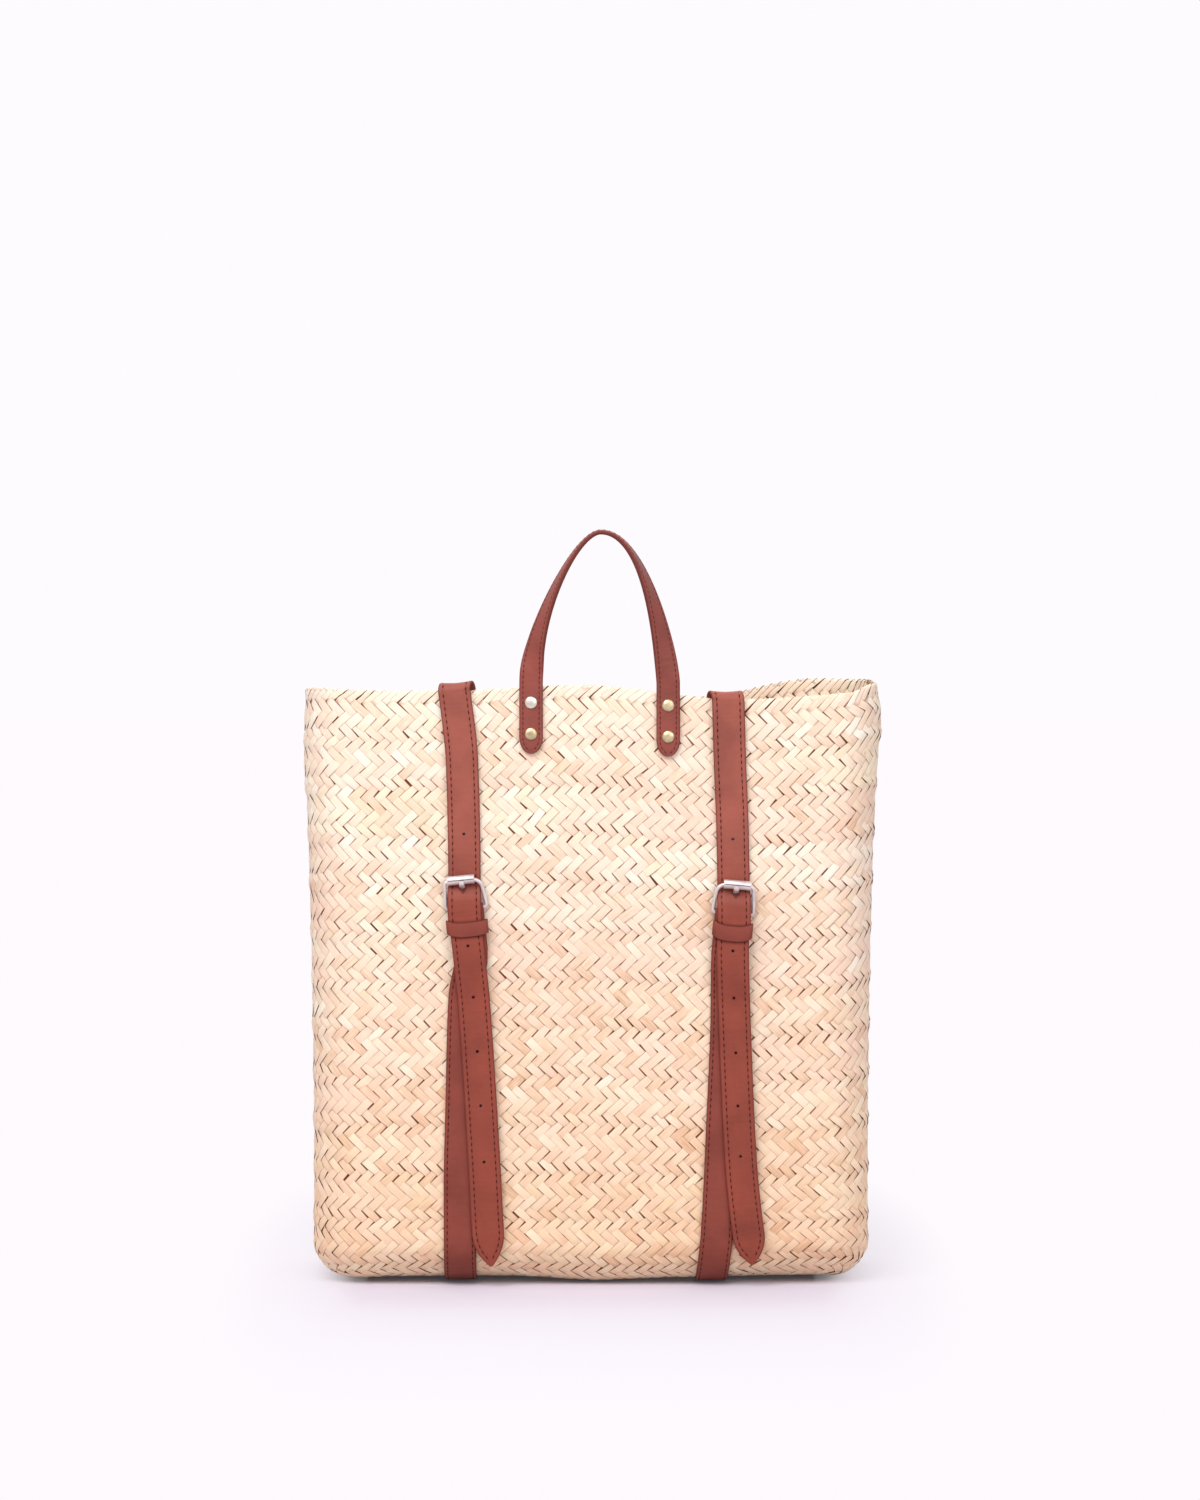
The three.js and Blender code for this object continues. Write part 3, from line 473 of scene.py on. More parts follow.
@dataclass(frozen=True)
class PalmLeaf:
    """Dried palm leaf: pale straw, each float its own tone, with fibres along it."""

    name: str = "palm_leaf"
    roughness: float = 0.55
    straw: tuple[tuple[float, Colour], ...] = (
        (0.0, (212, 168, 132)), (0.22, (232, 200, 170)), (0.45, (242, 218, 194)), (0.7, (246, 231, 209)),
        (1.0, (250, 244, 228)))
    pink: Colour = (246, 217, 196)
    gold: Colour = (247, 233, 200)
    # Multiplied in low on the basket: painted shade of light from above, partly the straw's own warmer lower leaves.
    foot: Colour = (255, 240, 222)
    # Brown of the float sides: painted shadow where leaf edges overlap, partly the browner dry leaf edge.
    edge: Colour = (164, 102, 70)
    # Painted shade where float ends dive under crossing floats and along the braid seams.
    tuck_shade: Colour = (176, 122, 86)

    def material(self) -> Material:
        """The leaf's material, from its tone, hue and tuck attributes and its own UV map.

        Returns:
            The material.
        """
        made, t, shader = new_material(self.name)
        tone, hue, tuck_shade = (t.attribute(name) for name in ("tone", "hue", "tuck_shade"))
        uv, place = t.uv(), t.place()
        own = t.add("ShaderNodeCombineXYZ", {0: t.math("MULTIPLY", tone, 41.0), 1: t.math("MULTIPLY", hue, 29.0)})
        along = t.stretched(uv, (0.06, 1.0, 1.0))
        shifted = t.add("ShaderNodeVectorMath", {0: along, 1: own.outputs[0]}, operation="ADD").outputs[0]
        streak = t.noise(shifted, 1.1, detail=3.0, roughness=0.6)
        grained = t.math("ADD", tone, t.graded(streak, -0.19, 0.19))
        grained = t.math("ADD", grained, t.graded(t.noise(place, 90.0), -0.06, 0.06))
        colour = t.ramp(grained, [(at, srgb(*straw)) for at, straw in self.straw])
        colour = t.mix(t.span(hue, 0.0, 1.0, 0.0, 0.7), colour, srgb(*self.pink))
        colour = t.mix(t.span(hue, 0.0, -1.0, 0.0, 0.6), colour, srgb(*self.gold))
        # Darker and warmer towards the bottom: painted shade, partly the straw's own warmer tone.
        colour = t.mix(t.span(t.part(place, 2), 0.03, 0.25, 0.8, 0.0), colour, srgb(*self.foot), "MULTIPLY")
        # Painted shadow lines along each float's sides, partly browner dry leaf edges, broken up by a slow noise.
        patchy = t.span(t.noise(place, 55.0), 0.35, 0.65, 0.45, 1.0)
        edge_shadow_line = t.span(t.math("ABSOLUTE", t.part(uv, 1)), 2.6, 2.9, 0.0, 1.0)
        colour = t.mix(t.math("MULTIPLY", edge_shadow_line, patchy), colour, srgb(*self.edge))
        t.put(shader, {
            # Float ends that dive under their neighbours, and the braid seams, get painted shade.
            "Base Color": t.mix(t.span(tuck_shade, 0.0, 1.0, 0.0, 0.55), colour, srgb(*self.tuck_shade)),
            "Roughness": t.graded(streak, self.roughness - 0.1, self.roughness + 0.12),
            "Normal": t.bump(streak, strength=0.25, distance=0.0003),
            "Specular IOR Level": 0.3,
        })
        return made


@dataclass(frozen=True)
class PlaitCore:
    """Shaded inside of the plait, seen only through the gaps."""

    name: str = "plait_core"
    deep: Colour = (112, 64, 42)
    pale: Colour = (156, 102, 70)

    def material(self) -> Material:
        """The core's material: shaded straw, uneven in tone.

        Returns:
            The material.
        """
        made, t, shader = new_material(self.name)
        mottle, speckle = t.mottle(slow=150.0, quick=900.0)
        t.put(shader, {
            "Base Color": t.ramp(mottle, [(NOISE_LOW, srgb(*self.deep)), (NOISE_HIGH, srgb(*self.pale))]),
            "Roughness": t.graded(speckle, 0.75, 0.95),
            "Specular IOR Level": 0.1,
        })
        return made


# Basket


@dataclass(frozen=True)
class BasketForm:
    """Form of the basket, in millimetres: the frame's, and the soft departures that the photograph shows."""

    mouth_width: float = 395.0
    middle_width: float = 382.5
    base_width: float = 381.5
    mouth_depth: float = 140.0
    middle_depth: float = 150.0
    base_depth: float = 146.0
    underside: float = 2.5
    height: float = 405.0
    wall: float = 3.6
    corner: float = 36.0
    base_edge: float = 26.0
    face_bow: float = 4.0
    base_sag: float = 1.8
    sag_half_span: float = 62.0
    front_rise: float = 4.4
    front_rise_x: float = -2.0
    front_rise_spread: float = 52.0
    front_dip: float = 6.0
    front_dip_x: float = 103.0
    front_dip_spread: float = 68.0
    back_drop: float = 13.0
    back_drop_x: float = 155.0
    back_drop_spread: float = 80.0
    set_back: float = 4.4071
    left_curl: float = 3.2
    left_curl_x: float = -150.0
    left_curl_spread: float = 50.0
    right_curl: float = 5.0
    right_curl_x: float = 176.0
    right_curl_spread: float = 16.0
    bulge_x: float = 150.0
    bulge_spread: float = 40.0
    left_bulge: Pairs = (
        (0.0, -2.1), (17.0, -0.5), (29.0, 0.0), (41.0, 0.8), (50.0, 1.2), (90.0, 0.0))
    right_bulge: Pairs = (
        (0.0, -1.9), (13.0, 1.6), (29.0, 2.7), (42.0, 1.4), (74.0, 0.6), (110.0, 0.0))
    braid_height: float = 32.7
    bump: float = 0.95
    bump_out: float = 0.6
    bump_start: float = 6.0
    bump_past: float = 8.0
    bump_fade: float = 25.0
    lift_y: float = -28.0
    lift_spread: float = 34.0
    lift_height: float = 70.0
    front_lift: Pairs = (
        (-180.0, 0.0), (-158.0, 0.9), (-135.0, 3.0), (-104.0, 3.6), (-72.0, 4.0), (-28.0, 3.3), (0.0, 1.6), (55.0, 1.8),
        (90.0, 2.8), (117.0, 4.4), (150.0, 5.6), (185.0, 6.4))

    @staticmethod
    def midway(base: float, middle: float, mouth: float, share: Array) -> Array:
        """A size that passes through three values up the height."""
        rest = 1.0 - share
        return base * rest * (1.0 - 2.0 * share) + middle * 4.0 * share * rest + mouth * share * (2.0 * share - 1.0)

    def half_width(self, share: Array) -> Array:
        """Half the width at a share of the height."""
        return self.midway(self.base_width, self.middle_width, self.mouth_width, share) / 2.0

    def half_depth(self, share: Array) -> Array:
        """Half the depth at a share of the height."""
        return self.midway(self.base_depth, self.middle_depth, self.mouth_depth, share) / 2.0

    @property
    def rim(self) -> float:
        """Height of the undipped rim."""
        return self.underside + self.height

    @property
    def rim_radius(self) -> float:
        """Radius of the leaf fold over the rim."""
        return self.wall / 2.0

    @property
    def rim_fold(self) -> float:
        """Length over the rim, from the outer to the inner wall."""
        return math.pi * self.rim_radius

    @property
    def wall_run(self) -> float:
        """Length down the wall, from the rim fold to the bottom edge."""
        return self.height - self.rim_radius - self.base_edge

    def rim_height(self, x: Array, y: Array) -> Array:
        """Height of the rim over a point of the outline.

        Args:
            x: place across the basket.
            y: place from front to back, before the basket is set back.

        Returns:
            The height.
        """
        front = np.clip(0.5 - y / self.mouth_depth, 0.0, 1.0)
        rise = self.front_rise * np.exp(-(((x - self.front_rise_x) / self.front_rise_spread) ** 2))
        dip = self.front_dip * np.exp(-(((x - self.front_dip_x) / self.front_dip_spread) ** 2))
        drop = self.back_drop * smooth((self.back_drop_x - x) / self.back_drop_spread)
        curl = (self.left_curl * smooth((self.left_curl_x - x) / self.left_curl_spread)
                + self.right_curl * smooth((x - self.right_curl_x) / self.right_curl_spread))
        return self.rim + front * (rise - dip + curl) - (1.0 - front) * drop

    def runs(self) -> tuple[float, float, float]:
        """Lengths of a face, a corner and an end half way up, which mark off places round the basket."""
        face, side = (size - 2.0 * self.corner for size in (self.middle_width, self.middle_depth))
        return face, math.pi / 2.0 * self.corner, side

    @property
    def girth(self) -> float:
        """Length round the basket half way up."""
        face, bend, side = self.runs()
        return 2.0 * (face + 2.0 * bend + side)

    def outline(self, s: Array, share: Array, inset: Array) -> tuple[Array, Array]:
        """Point of the outline.

        Args:
            s: place round the basket, from the left end of the front face.
            share: share of the height.
            inset: distance in from the outer face.

        Returns:
            x and y, before the basket is set back.
        """
        face, bend, side = self.runs()
        half = face + 2.0 * bend + side
        s = np.mod(s, 2.0 * half)
        sign = np.where(s >= half, -1.0, 1.0)
        t = np.where(s >= half, s - half, s)
        past = np.maximum(inset - self.corner, 0.0)
        radius = np.maximum(self.corner - inset, 0.0)
        straight = self.half_width(share) - self.corner
        end = self.half_depth(share) - self.corner
        fade = np.clip(1.0 - past / end, 0.0, 1.0)
        across = straight - past
        along = np.maximum(end - past, 0.0)
        face_x = across * (2.0 * t / face - 1.0)
        bow = fade * self.face_bow * np.maximum(0.0, 1.0 - (face_x / straight) ** 2)
        first = np.clip((t - face) / bend, 0.0, 1.0) * math.pi / 2.0
        second = np.clip((t - face - bend - side) / bend, 0.0, 1.0) * math.pi / 2.0
        place = [t < face, t < face + bend, t < face + bend + side]
        x = np.select(place, [face_x, across + radius * np.sin(first), across + radius],
                      across + radius * np.cos(second))
        y = np.select(place, [-along - radius - bow, -along - radius * np.cos(first),
                              along * (2.0 * (t - face - bend) / side - 1.0)], along + radius * np.sin(second))
        return sign * x, sign * y

    def lift(self, points: Array) -> Array:
        """How far the soft bottom edge stands up off the floor along the front.

        Args:
            points: points of the basket.

        Returns:
            The rise at each point.
        """
        at, rise = np.array(self.front_lift).T
        front = smooth((self.lift_y - points[..., 1]) / self.lift_spread)
        low = 1.0 - smooth(points[..., 2] / self.lift_height)
        return np.interp(points[..., 0], at, rise) * (front * low)

    def bulge(self, x: Array, run: Array) -> Array:
        """How far the soft ends of the basket lean out below the rim, along x."""
        left, right = (np.interp(run, *np.array(line).T) for line in (self.left_bulge, self.right_bulge))
        return smooth((np.abs(x) - self.bulge_x) / self.bulge_spread) * np.where(x > 0.0, right, -left)

    def bumps(self, s: Array, run: Array) -> Array:
        """How far the hollows between braids lie in, at the ends of the basket.

        Args:
            s: place round the basket.
            run: length down from the rim.

        Returns:
            Distance in from the even outline.
        """
        face, bend, side = self.runs()
        from_end = np.abs(np.mod(s, self.girth / 2.0) - face - bend - side / 2.0)
        above = smooth((self.wall_run + self.bump_past - run) / self.bump_fade)
        near = smooth((bend + side / 2.0 - from_end) / (0.8 * bend)) * above
        turn = 2.0 * math.pi * run / self.braid_height
        hollow = self.bump * (2.0 - np.cos(turn) - np.cos(2.0 * turn)) / 2.0
        return near * (hollow - self.bump_out * smooth(run / self.bump_start))

    def surface(self, s: Array, q: Array) -> Array:
        """Point of the basket's face.

        Args:
            s: place round the basket.
            q: length down the outside from the rim; negative over the rim and down the inside.

        Returns:
            The points, with the basket set back.
        """
        inner = q < -self.rim_fold
        run = np.where(inner, -q - self.rim_fold, np.maximum(q, 0.0))
        over = np.clip(-q, 0.0, self.rim_fold) / self.rim_radius
        on_rim = (q < 0.0) & ~inner
        back = np.where(inner, self.wall, 0.0)
        edge = self.base_edge - back
        turn = math.pi / 2.0 - np.clip((run - self.wall_run) / edge, 0.0, math.pi / 2.0)
        beyond = np.maximum(run - self.wall_run - edge * math.pi / 2.0, 0.0)
        rise = np.where(run <= self.wall_run, self.height - self.rim_radius - run,
                        back + edge * (1.0 - np.cos(turn)))
        inset = np.where(on_rim, self.rim_radius * (1.0 - np.cos(over)),
                         back + edge * (1.0 - np.sin(turn)) + beyond)
        share = rise / self.height
        x, y = self.outline(s, share, inset + np.where(on_rim, 0.0, self.bumps(s, run)))
        x = x + self.bulge(x, run)
        rim = self.rim_height(x, y)
        z = self.underside + (rim - self.underside) * share
        z = np.where(on_rim, z + self.rim_radius * np.sin(over), z)
        reach = np.minimum(np.abs(x) / self.sag_half_span, 1.0)
        z = z - self.base_sag * np.cos(reach * math.pi / 2.0) ** 2 * np.cos(turn) ** 2
        points = np.stack((x, y + self.set_back, z), axis=-1)
        points[..., 2] += self.lift(points)
        return points

    def normal(self, s: Array, q: Array) -> Array:
        """Direction out of the leaf face at a place.

        Args:
            s: place round the basket.
            q: length down from the rim.

        Returns:
            The direction.
        """
        side_step, down_step = 0.6, 0.3
        along = self.surface(s + side_step, q) - self.surface(s - side_step, q)
        up = self.surface(s, q - down_step) - self.surface(s, q + down_step)
        return unit(np.cross(along, up))

    def wall_y(self, x: float, z: float) -> float:
        """Place of the front wall, set back.

        Args:
            x: place across the basket.
            z: height.

        Returns:
            The wall's y.
        """
        share = (z - self.underside) / (self.front_rim(x) - self.underside)
        straight = self.half_width(share) - self.corner
        bow = self.face_bow * max(0.0, 1.0 - (x / straight) ** 2)
        return self.set_back - self.half_depth(share) - bow

    def wall_normal(self, x: float, z: float) -> Array:
        """Direction out of the front wall.

        Args:
            x: place across the basket.
            z: height.

        Returns:
            The direction.
        """
        step = 0.5
        over_x = (self.wall_y(x + step, z) - self.wall_y(x - step, z)) / (2.0 * step)
        over_z = (self.wall_y(x, z + step) - self.wall_y(x, z - step)) / (2.0 * step)
        return unit(np.array((over_x, -1.0, over_z)))

    def off_wall(self, x: float, z: float, out: float) -> Array:
        """Point that stands off the front wall."""
        return np.array((x, self.wall_y(x, z), z)) + self.wall_normal(x, z) * out

    def front_rim(self, x: float) -> float:
        """Height of the front rim."""
        return float(self.rim_height(x, -self.mouth_depth / 2.0))


@dataclass(frozen=True)
class LeafSpread:
    """How far the leaves of a row differ from each other, as standard deviations."""

    centre: float = 0.22
    length: float = 0.035
    width: float = 0.035
    angle: float = 0.035
    roll: float = 0.03
    nod: float = 0.014
    lift: float = 0.07


@dataclass(frozen=True)
class LeafShade:
    """Middle of a tone or hue, and how far batches, strips and single floats stray from it."""

    middle: float
    batch: float
    strip: float
    own: float

    def strayed(self, batch: Array, strip: Array, own: Array) -> Array:
        """The tone or hue of each float."""
        return self.middle + self.batch * batch + self.strip * strip + self.own * own


@dataclass(frozen=True)
class PlaitRow:
    """One row of floats round the basket."""

    number: int
    q: float
    count: int
    lean: Lean
    inside: bool


@dataclass
class Plait:
    """The herringbone plait: leaf floats in rows that lean to and fro, four rows to a braid."""

    form: BasketForm
    pitch: float = 8.67
    row_height: float = 8.18
    rows_to_braid: int = 4
    base_height: float = 6.0
    turned_share: float = 0.3
    core_inset: float = 1.0
    leaf_width: float = 6.0
    float_half: float = 6.3
    rim_pitch: float = 6.2
    crest: float = 0.22
    headroom: float = 0.2
    camber: float = 0.16
    edge_drop: float = 0.1
    tuck_from: float = 0.93
    tuck_to: float = 1.42
    tuck_depth: float = 1.05
    rim_headroom: float = 0.3
    rim_lift: float = 0.05
    rim_roll: float = 0.05
    rim_tuck_run: float = 0.5
    rim_tuck_depth: float = 0.6
    rim_stations: tuple[float, ...] = (-1.0, -0.8, -0.45, -0.25, -0.1, 0.0, 0.1, 0.25, 0.45, 0.8, 1.0)
    width_stations: tuple[float, ...] = (-0.5, -0.41, 0.41, 0.5)
    width_share: float = 0.985
    width_limits: tuple[float, float] = (0.86, 1.05)
    rim_width_limits: tuple[float, float] = (0.84, 1.1)
    spread: LeafSpread = LeafSpread()
    rim_spread: LeafSpread = LeafSpread(centre=0.2, length=0.03, width=0.06, angle=0.03, lift=0.05)
    braid_crown: float = 0.16
    seam_from: float = 0.55
    seam_run: float = 0.5
    seam_narrowing: float = 0.17
    seam_dip: float = 0.3
    seam_tuck_shade: float = 0.12
    tone: LeafShade = LeafShade(middle=0.6, batch=0.1, strip=0.12, own=0.07)
    hue: LeafShade = LeafShade(middle=0.06, batch=0.34, strip=0.28, own=0.16)
    batches: int = 8
    dark_share: float = 0.012
    pale_from: float = 0.95
    odd_tone: float = 0.18
    low_tone: float = 0.45
    low_tone_share: float = 0.62
    wall_darkening: float = 0.035
    # Tone falls and hue warms lower on the basket: painted shade, the hue partly the straw's own.
    foot_painted_shade: float = 0.065
    foot_warmth_and_shade: float = 0.3
    # Painted light on the bottom edge, which curves under and faces away from the lamps.
    turn_painted_light: float = 0.5
    turn_top: float = 22.0
    turn_spread: float = 16.0

    def __post_init__(self) -> None:
        """Starts the draws that make each leaf its own."""
        self.draw = np.random.default_rng(SEED)

    @property
    def slant(self) -> float:
        """Angle of a leaf to its row."""
        return math.atan2(self.row_height, self.pitch)

    def leaf(self, stations: Sequence[float]) -> Piece:
        """One cambered leaf float, closed underneath.

        Args:
            stations: places along the leaf, in half floats.

        Returns:
            The template: x along the leaf in half floats, y across in leaf widths, z out in millimetres.
        """
        deselect_all()
        bpy.ops.mesh.primitive_grid_add(
            x_subdivisions=len(stations) - 1, y_subdivisions=len(self.width_stations) - 1, size=2.0)
        leaf = bpy.context.object
        x, y = np.meshgrid(stations, self.width_stations)
        along, reach = np.abs(x), max(stations)
        if reach <= self.tuck_to:
            drop = self.tuck_depth * smooth((along - self.tuck_from) / (self.tuck_to - self.tuck_from))
        else:
            drop = self.rim_tuck_depth * smooth((along - reach + self.rim_tuck_run) / self.rim_tuck_run)
        turned_edge = np.abs(y) > self.width_stations[-2]
        z = self.camber * (1.0 - np.minimum(along, 1.0) ** 2) - self.edge_drop * turned_edge - drop
        leaf.data.vertices.foreach_set("co", np.stack((x, y, z), -1).astype(np.float32).ravel())
        put_uv(leaf, np.stack((x * self.float_half, y * self.leaf_width), -1))
        bpy.ops.object.mode_set(mode="EDIT")
        bpy.ops.mesh.select_all(action="SELECT")
        bpy.ops.mesh.region_to_loop()
        bpy.ops.mesh.edge_face_add()
        bpy.ops.mesh.select_all(action="SELECT")
        bpy.ops.mesh.normals_make_consistent(inside=False)
        bpy.ops.object.mode_set(mode="OBJECT")
        return leaf

    def ring(self, q: float) -> tuple[Array, Array]:
        """Length round the basket at a row.

        Args:
            q: the row's place.

        Returns:
            Places round the basket, and the length up to each.
        """
        s = np.linspace(0.0, self.form.girth, 1401)
        return s, lengths_along(self.form.surface(s, np.full_like(s, q)))

    def rows(self, inside: bool) -> list[PlaitRow]:
        """The rows of one face, from below the rim row to the middle of the base.

        Args:
            inside: whether the face is the inner one.

        Returns:
            The rows.
        """
        form = self.form
        edge = form.base_edge - (form.wall if inside else 0.0)
        bottom = form.wall_run + edge * math.pi / 2.0
        flat = form.half_depth(0.0) - form.base_edge
        wall_count = round((bottom - self.row_height) / self.row_height)
        wall_step = (bottom - self.row_height) / wall_count
        base_count = round(flat / self.row_height)
        places = [self.row_height + wall_step * (j + 0.5) for j in range(wall_count)]
        places += [bottom + flat / base_count * (j + 0.5) for j in range(base_count)]
        whole = round(form.girth / self.pitch)
        made = []
        for j, down in enumerate(places):
            q = -form.rim_fold - down if inside else down
            length = self.ring(q)[1][-1]
            lower = down > form.wall_run + self.turned_share * edge
            count = round(length / self.pitch) if lower else whole
            made.append(PlaitRow(j + 1, q, count, Lean.FALLING if j % 2 == 0 else Lean.RISING, inside))
        return made

    def wave(self, s: Array, braid: int) -> Array:
        """Slow rise and fall of a braid round the basket.

        Args:
            s: place round the basket.
            braid: the braid's number.

        Returns:
            How far the braid lies above its row.
        """
        turn = 2.0 * math.pi * s / self.form.girth
        phase = np.random.default_rng(SEED + WAVE_SEED_STEP * braid).uniform(0.0, 2.0 * math.pi, 3)
        shared = 0.55 * np.sin(2.0 * turn + 0.7) + 0.35 * np.sin(5.0 * turn + 2.1)
        own = 0.22 * np.sin(3.0 * turn + phase[0]) + 0.2 * np.sin(9.0 * turn + phase[1])
        return shared + own + 0.14 * np.sin(17.0 * turn + phase[2])

    def tones(self, row: PlaitRow, braid: int, index: Array, share: Array) -> tuple[Array, Array]:
        """Tone and hue of each float: by batch along the braid, by strip and by float.

        Args:
            row: the row.
            braid: the braid's number.
            index: number of each float in the row.
            share: place of each float round the basket.

        Returns:
            Tone from 0, dark, to 1, pale; hue from -1, yellow, to 1, pink.
        """
        seed = SEED + BATCH_SEED_STEP * braid + (INSIDE_SEED_STEP if row.inside else 0)
        batch, count = np.random.default_rng(seed), self.batches + 1
        knots = batch.normal(size=(2, count))
        at = share * self.batches
        low = np.floor(at).astype(int) % count
        ease = smooth(at - np.floor(at))
        slow = knots[:, low] * (1.0 - ease) + knots[:, (low + 1) % count] * ease
        strips = batch.normal(size=(2, 2 * row.count + 200))
        strip = strips[:, (index - row.lean.value * row.number) % strips.shape[1]]
        own = self.draw.normal(size=(2, len(index)))
        tone, hue = (shade.strayed(slow[k], strip[k], own[k]) for k, shade in enumerate((self.tone, self.hue)))
        odd = self.draw.uniform(size=len(index))
        paled = np.where(odd > self.pale_from, tone + self.odd_tone, tone)
        tone = np.where(odd < self.dark_share, tone - self.odd_tone, paled)
        eased = self.low_tone + self.low_tone_share * (tone - self.low_tone)
        return np.where(tone < self.low_tone, eased, tone), hue

    @staticmethod
    def turned(along: Array, across: Array, angle: Array) -> tuple[Array, Array]:
        """Places along and up from a row, from places along and across a leaf at an angle to it."""
        return along * np.cos(angle) - across * np.sin(angle), along * np.sin(angle) + across * np.cos(angle)

    @staticmethod
    def laid(points: Array, tone: Array, hue: Array, tuck_shade: Array) -> dict[str, Array]:
        """The points of each float of a row, and the tone, hue and tuck of each point."""
        marks = {"tone": tone[:, None], "hue": hue[:, None], "tuck_shade": tuck_shade}
        return {"points": points, **{mark: np.broadcast_to(value, points.shape[:2]) for mark, value in marks.items()}}

    def lay_row(self, row: PlaitRow, template: Array) -> dict[str, Array]:
        """Lays the floats of one row on the basket.

        Args:
            row: the row.
            template: the leaf's vertices.

        Returns:
            The points of each float and the tone, hue and tuck of each point.
        """
        form, draw, spread = self.form, self.draw, self.spread
        s_at, length_at = self.ring(row.q)
        total = length_at[-1]
        step = total / row.count
        index = np.arange(row.count)
        offset = 0.5 if row.lean is Lean.FALLING else 0.0
        size = (row.count, 1)
        centre = ((index + offset) % row.count)[:, None] * step + draw.normal(0.0, spread.centre, size)
        braid, within = divmod(row.number, self.rows_to_braid)
        long = 1.0 + draw.normal(0.0, spread.length, size)
        wide = np.clip(self.width_share + draw.normal(0.0, spread.width, size), *self.width_limits) * step / self.pitch
        angle = row.lean.value * (self.slant + draw.normal(0.0, spread.angle, size))
        roll = draw.normal(0.0, spread.roll, size)
        nod = draw.normal(0.0, spread.nod, size)
        crown = self.braid_crown if within in (1, 2) else -self.braid_crown
        lift = self.crest - self.camber + draw.normal(0.0, spread.lift, size) + crown
        x, y, z = (template[None, :, k] for k in range(3))
        seam_end = 1.0 if within == self.rows_to_braid - 1 else -1.0 if within == 0 else 0.0
        lower = -row.lean.value
        near_seam = smooth((x * lower * seam_end - self.seam_from) / self.seam_run) if seam_end else 0.0 * x
        along = x * self.float_half * long
        across = y * self.leaf_width * wide * (1.0 - self.seam_narrowing * near_seam)
        a, b = self.turned(along, across, angle)
        s = np.interp(np.mod(centre + a, total), length_at, s_at)
        q = row.q - b - self.wave(s, braid) * (1.0 if abs(row.q) < form.wall_run else 0.0)
        out = z + lift + roll * across + nod * along - self.seam_dip * near_seam
        out = np.minimum(out, self.crest + self.headroom)
        points = form.surface(s, q) + form.normal(s, q) * out[..., None]
        tone, hue = self.tones(row, braid, index, (centre[:, 0] / total) % 1.0)
        height = points[..., 2].mean(axis=1)
        # Painted shade darkens the floats lower down, where the straw is also partly warmer of its own.
        foot = np.clip(1.0 - height / form.rim, 0.0, 1.0)
        # Painted light on the bottom edge that curves under, away from the lamps.
        turn = smooth((self.turn_top - height) / self.turn_spread)
        tone = tone - self.wall_darkening - self.foot_painted_shade * foot + self.turn_painted_light * turn
        # Painted shade at the float ends that dive under crossing floats, more at the braid seams.
        tuck_shade = smooth((np.abs(x) - 0.9) / 0.45) + self.seam_tuck_shade * near_seam
        return self.laid(points, tone, hue + self.foot_warmth_and_shade * foot, tuck_shade)

    def rim_row(self, template: Array) -> dict[str, Array]:
        """Lays the leaves that fold over the rim.

        Args:
            template: the long leaf's vertices.

        Returns:
            The points of each leaf and the tone, hue and tuck of each point.
        """
        form, draw, spread = self.form, self.draw, self.rim_spread
        s_at, length_at = self.ring(0.0)
        total = length_at[-1]
        count = round(form.girth / self.rim_pitch)
        size = (count, 1)
        index = np.arange(count)
        centre = index[:, None] * total / count + draw.normal(0.0, spread.centre, size)
        angle = self.slant + draw.normal(0.0, spread.angle, size)
        wide = np.clip(1.0 + draw.normal(0.0, spread.width, size), *self.rim_width_limits) * self.rim_pitch / self.pitch
        x, y, z = (template[None, :, k] for k in range(3))
        along = x * self.float_half * (1.0 + draw.normal(0.0, spread.length, size))
        across = y * self.leaf_width * wide
        a, b = self.turned(along, across, angle)
        s = np.interp(np.mod(centre + a, total), length_at, s_at)
        sway = self.wave(s, 0) * smooth((np.abs(b) - 4.0) / 4.0) * np.sign(-b)
        q = -form.rim_fold / 2.0 - b - sway
        out = z + self.rim_lift + draw.normal(0.0, spread.lift, size) + self.rim_roll * across
        out = np.minimum(out, self.crest + self.rim_headroom)
        points = form.surface(s, q) + form.normal(s, q) * out[..., None]
        row = PlaitRow(0, 0.0, count, Lean.RISING, False)
        tone, hue = self.tones(row, 0, index, centre[:, 0] / total % 1.0)
        # Painted shade where the rim leaves dive into the plait.
        tuck_shade = smooth((np.abs(x) - max(template[:, 0]) + 0.45) / 0.4)
        return self.laid(points, tone, hue, tuck_shade)

    @staticmethod
    def joined(name: str, template: Piece, rows: Sequence[dict[str, Array]],
               keep: Callable[[Array], Array]) -> Piece:
        """One piece of plait from the floats of many rows.

        Args:
            name: the piece's name.
            template: the leaf that is copied.
            rows: the laid rows.
            keep: which floats belong to the piece, from their middles.

        Returns:
            The piece.
        """
        picked = [keep(row["points"].mean(axis=1)) for row in rows]
        piece = stamped(name, template, np.concatenate([row["points"][p] for row, p in zip(rows, picked)]))
        for mark in ("tone", "hue", "tuck_shade"):
            put_attribute(piece, mark, np.concatenate([row[mark][p].ravel() for row, p in zip(rows, picked)]))
        smooth_edges(piece, 40.0)
        return piece

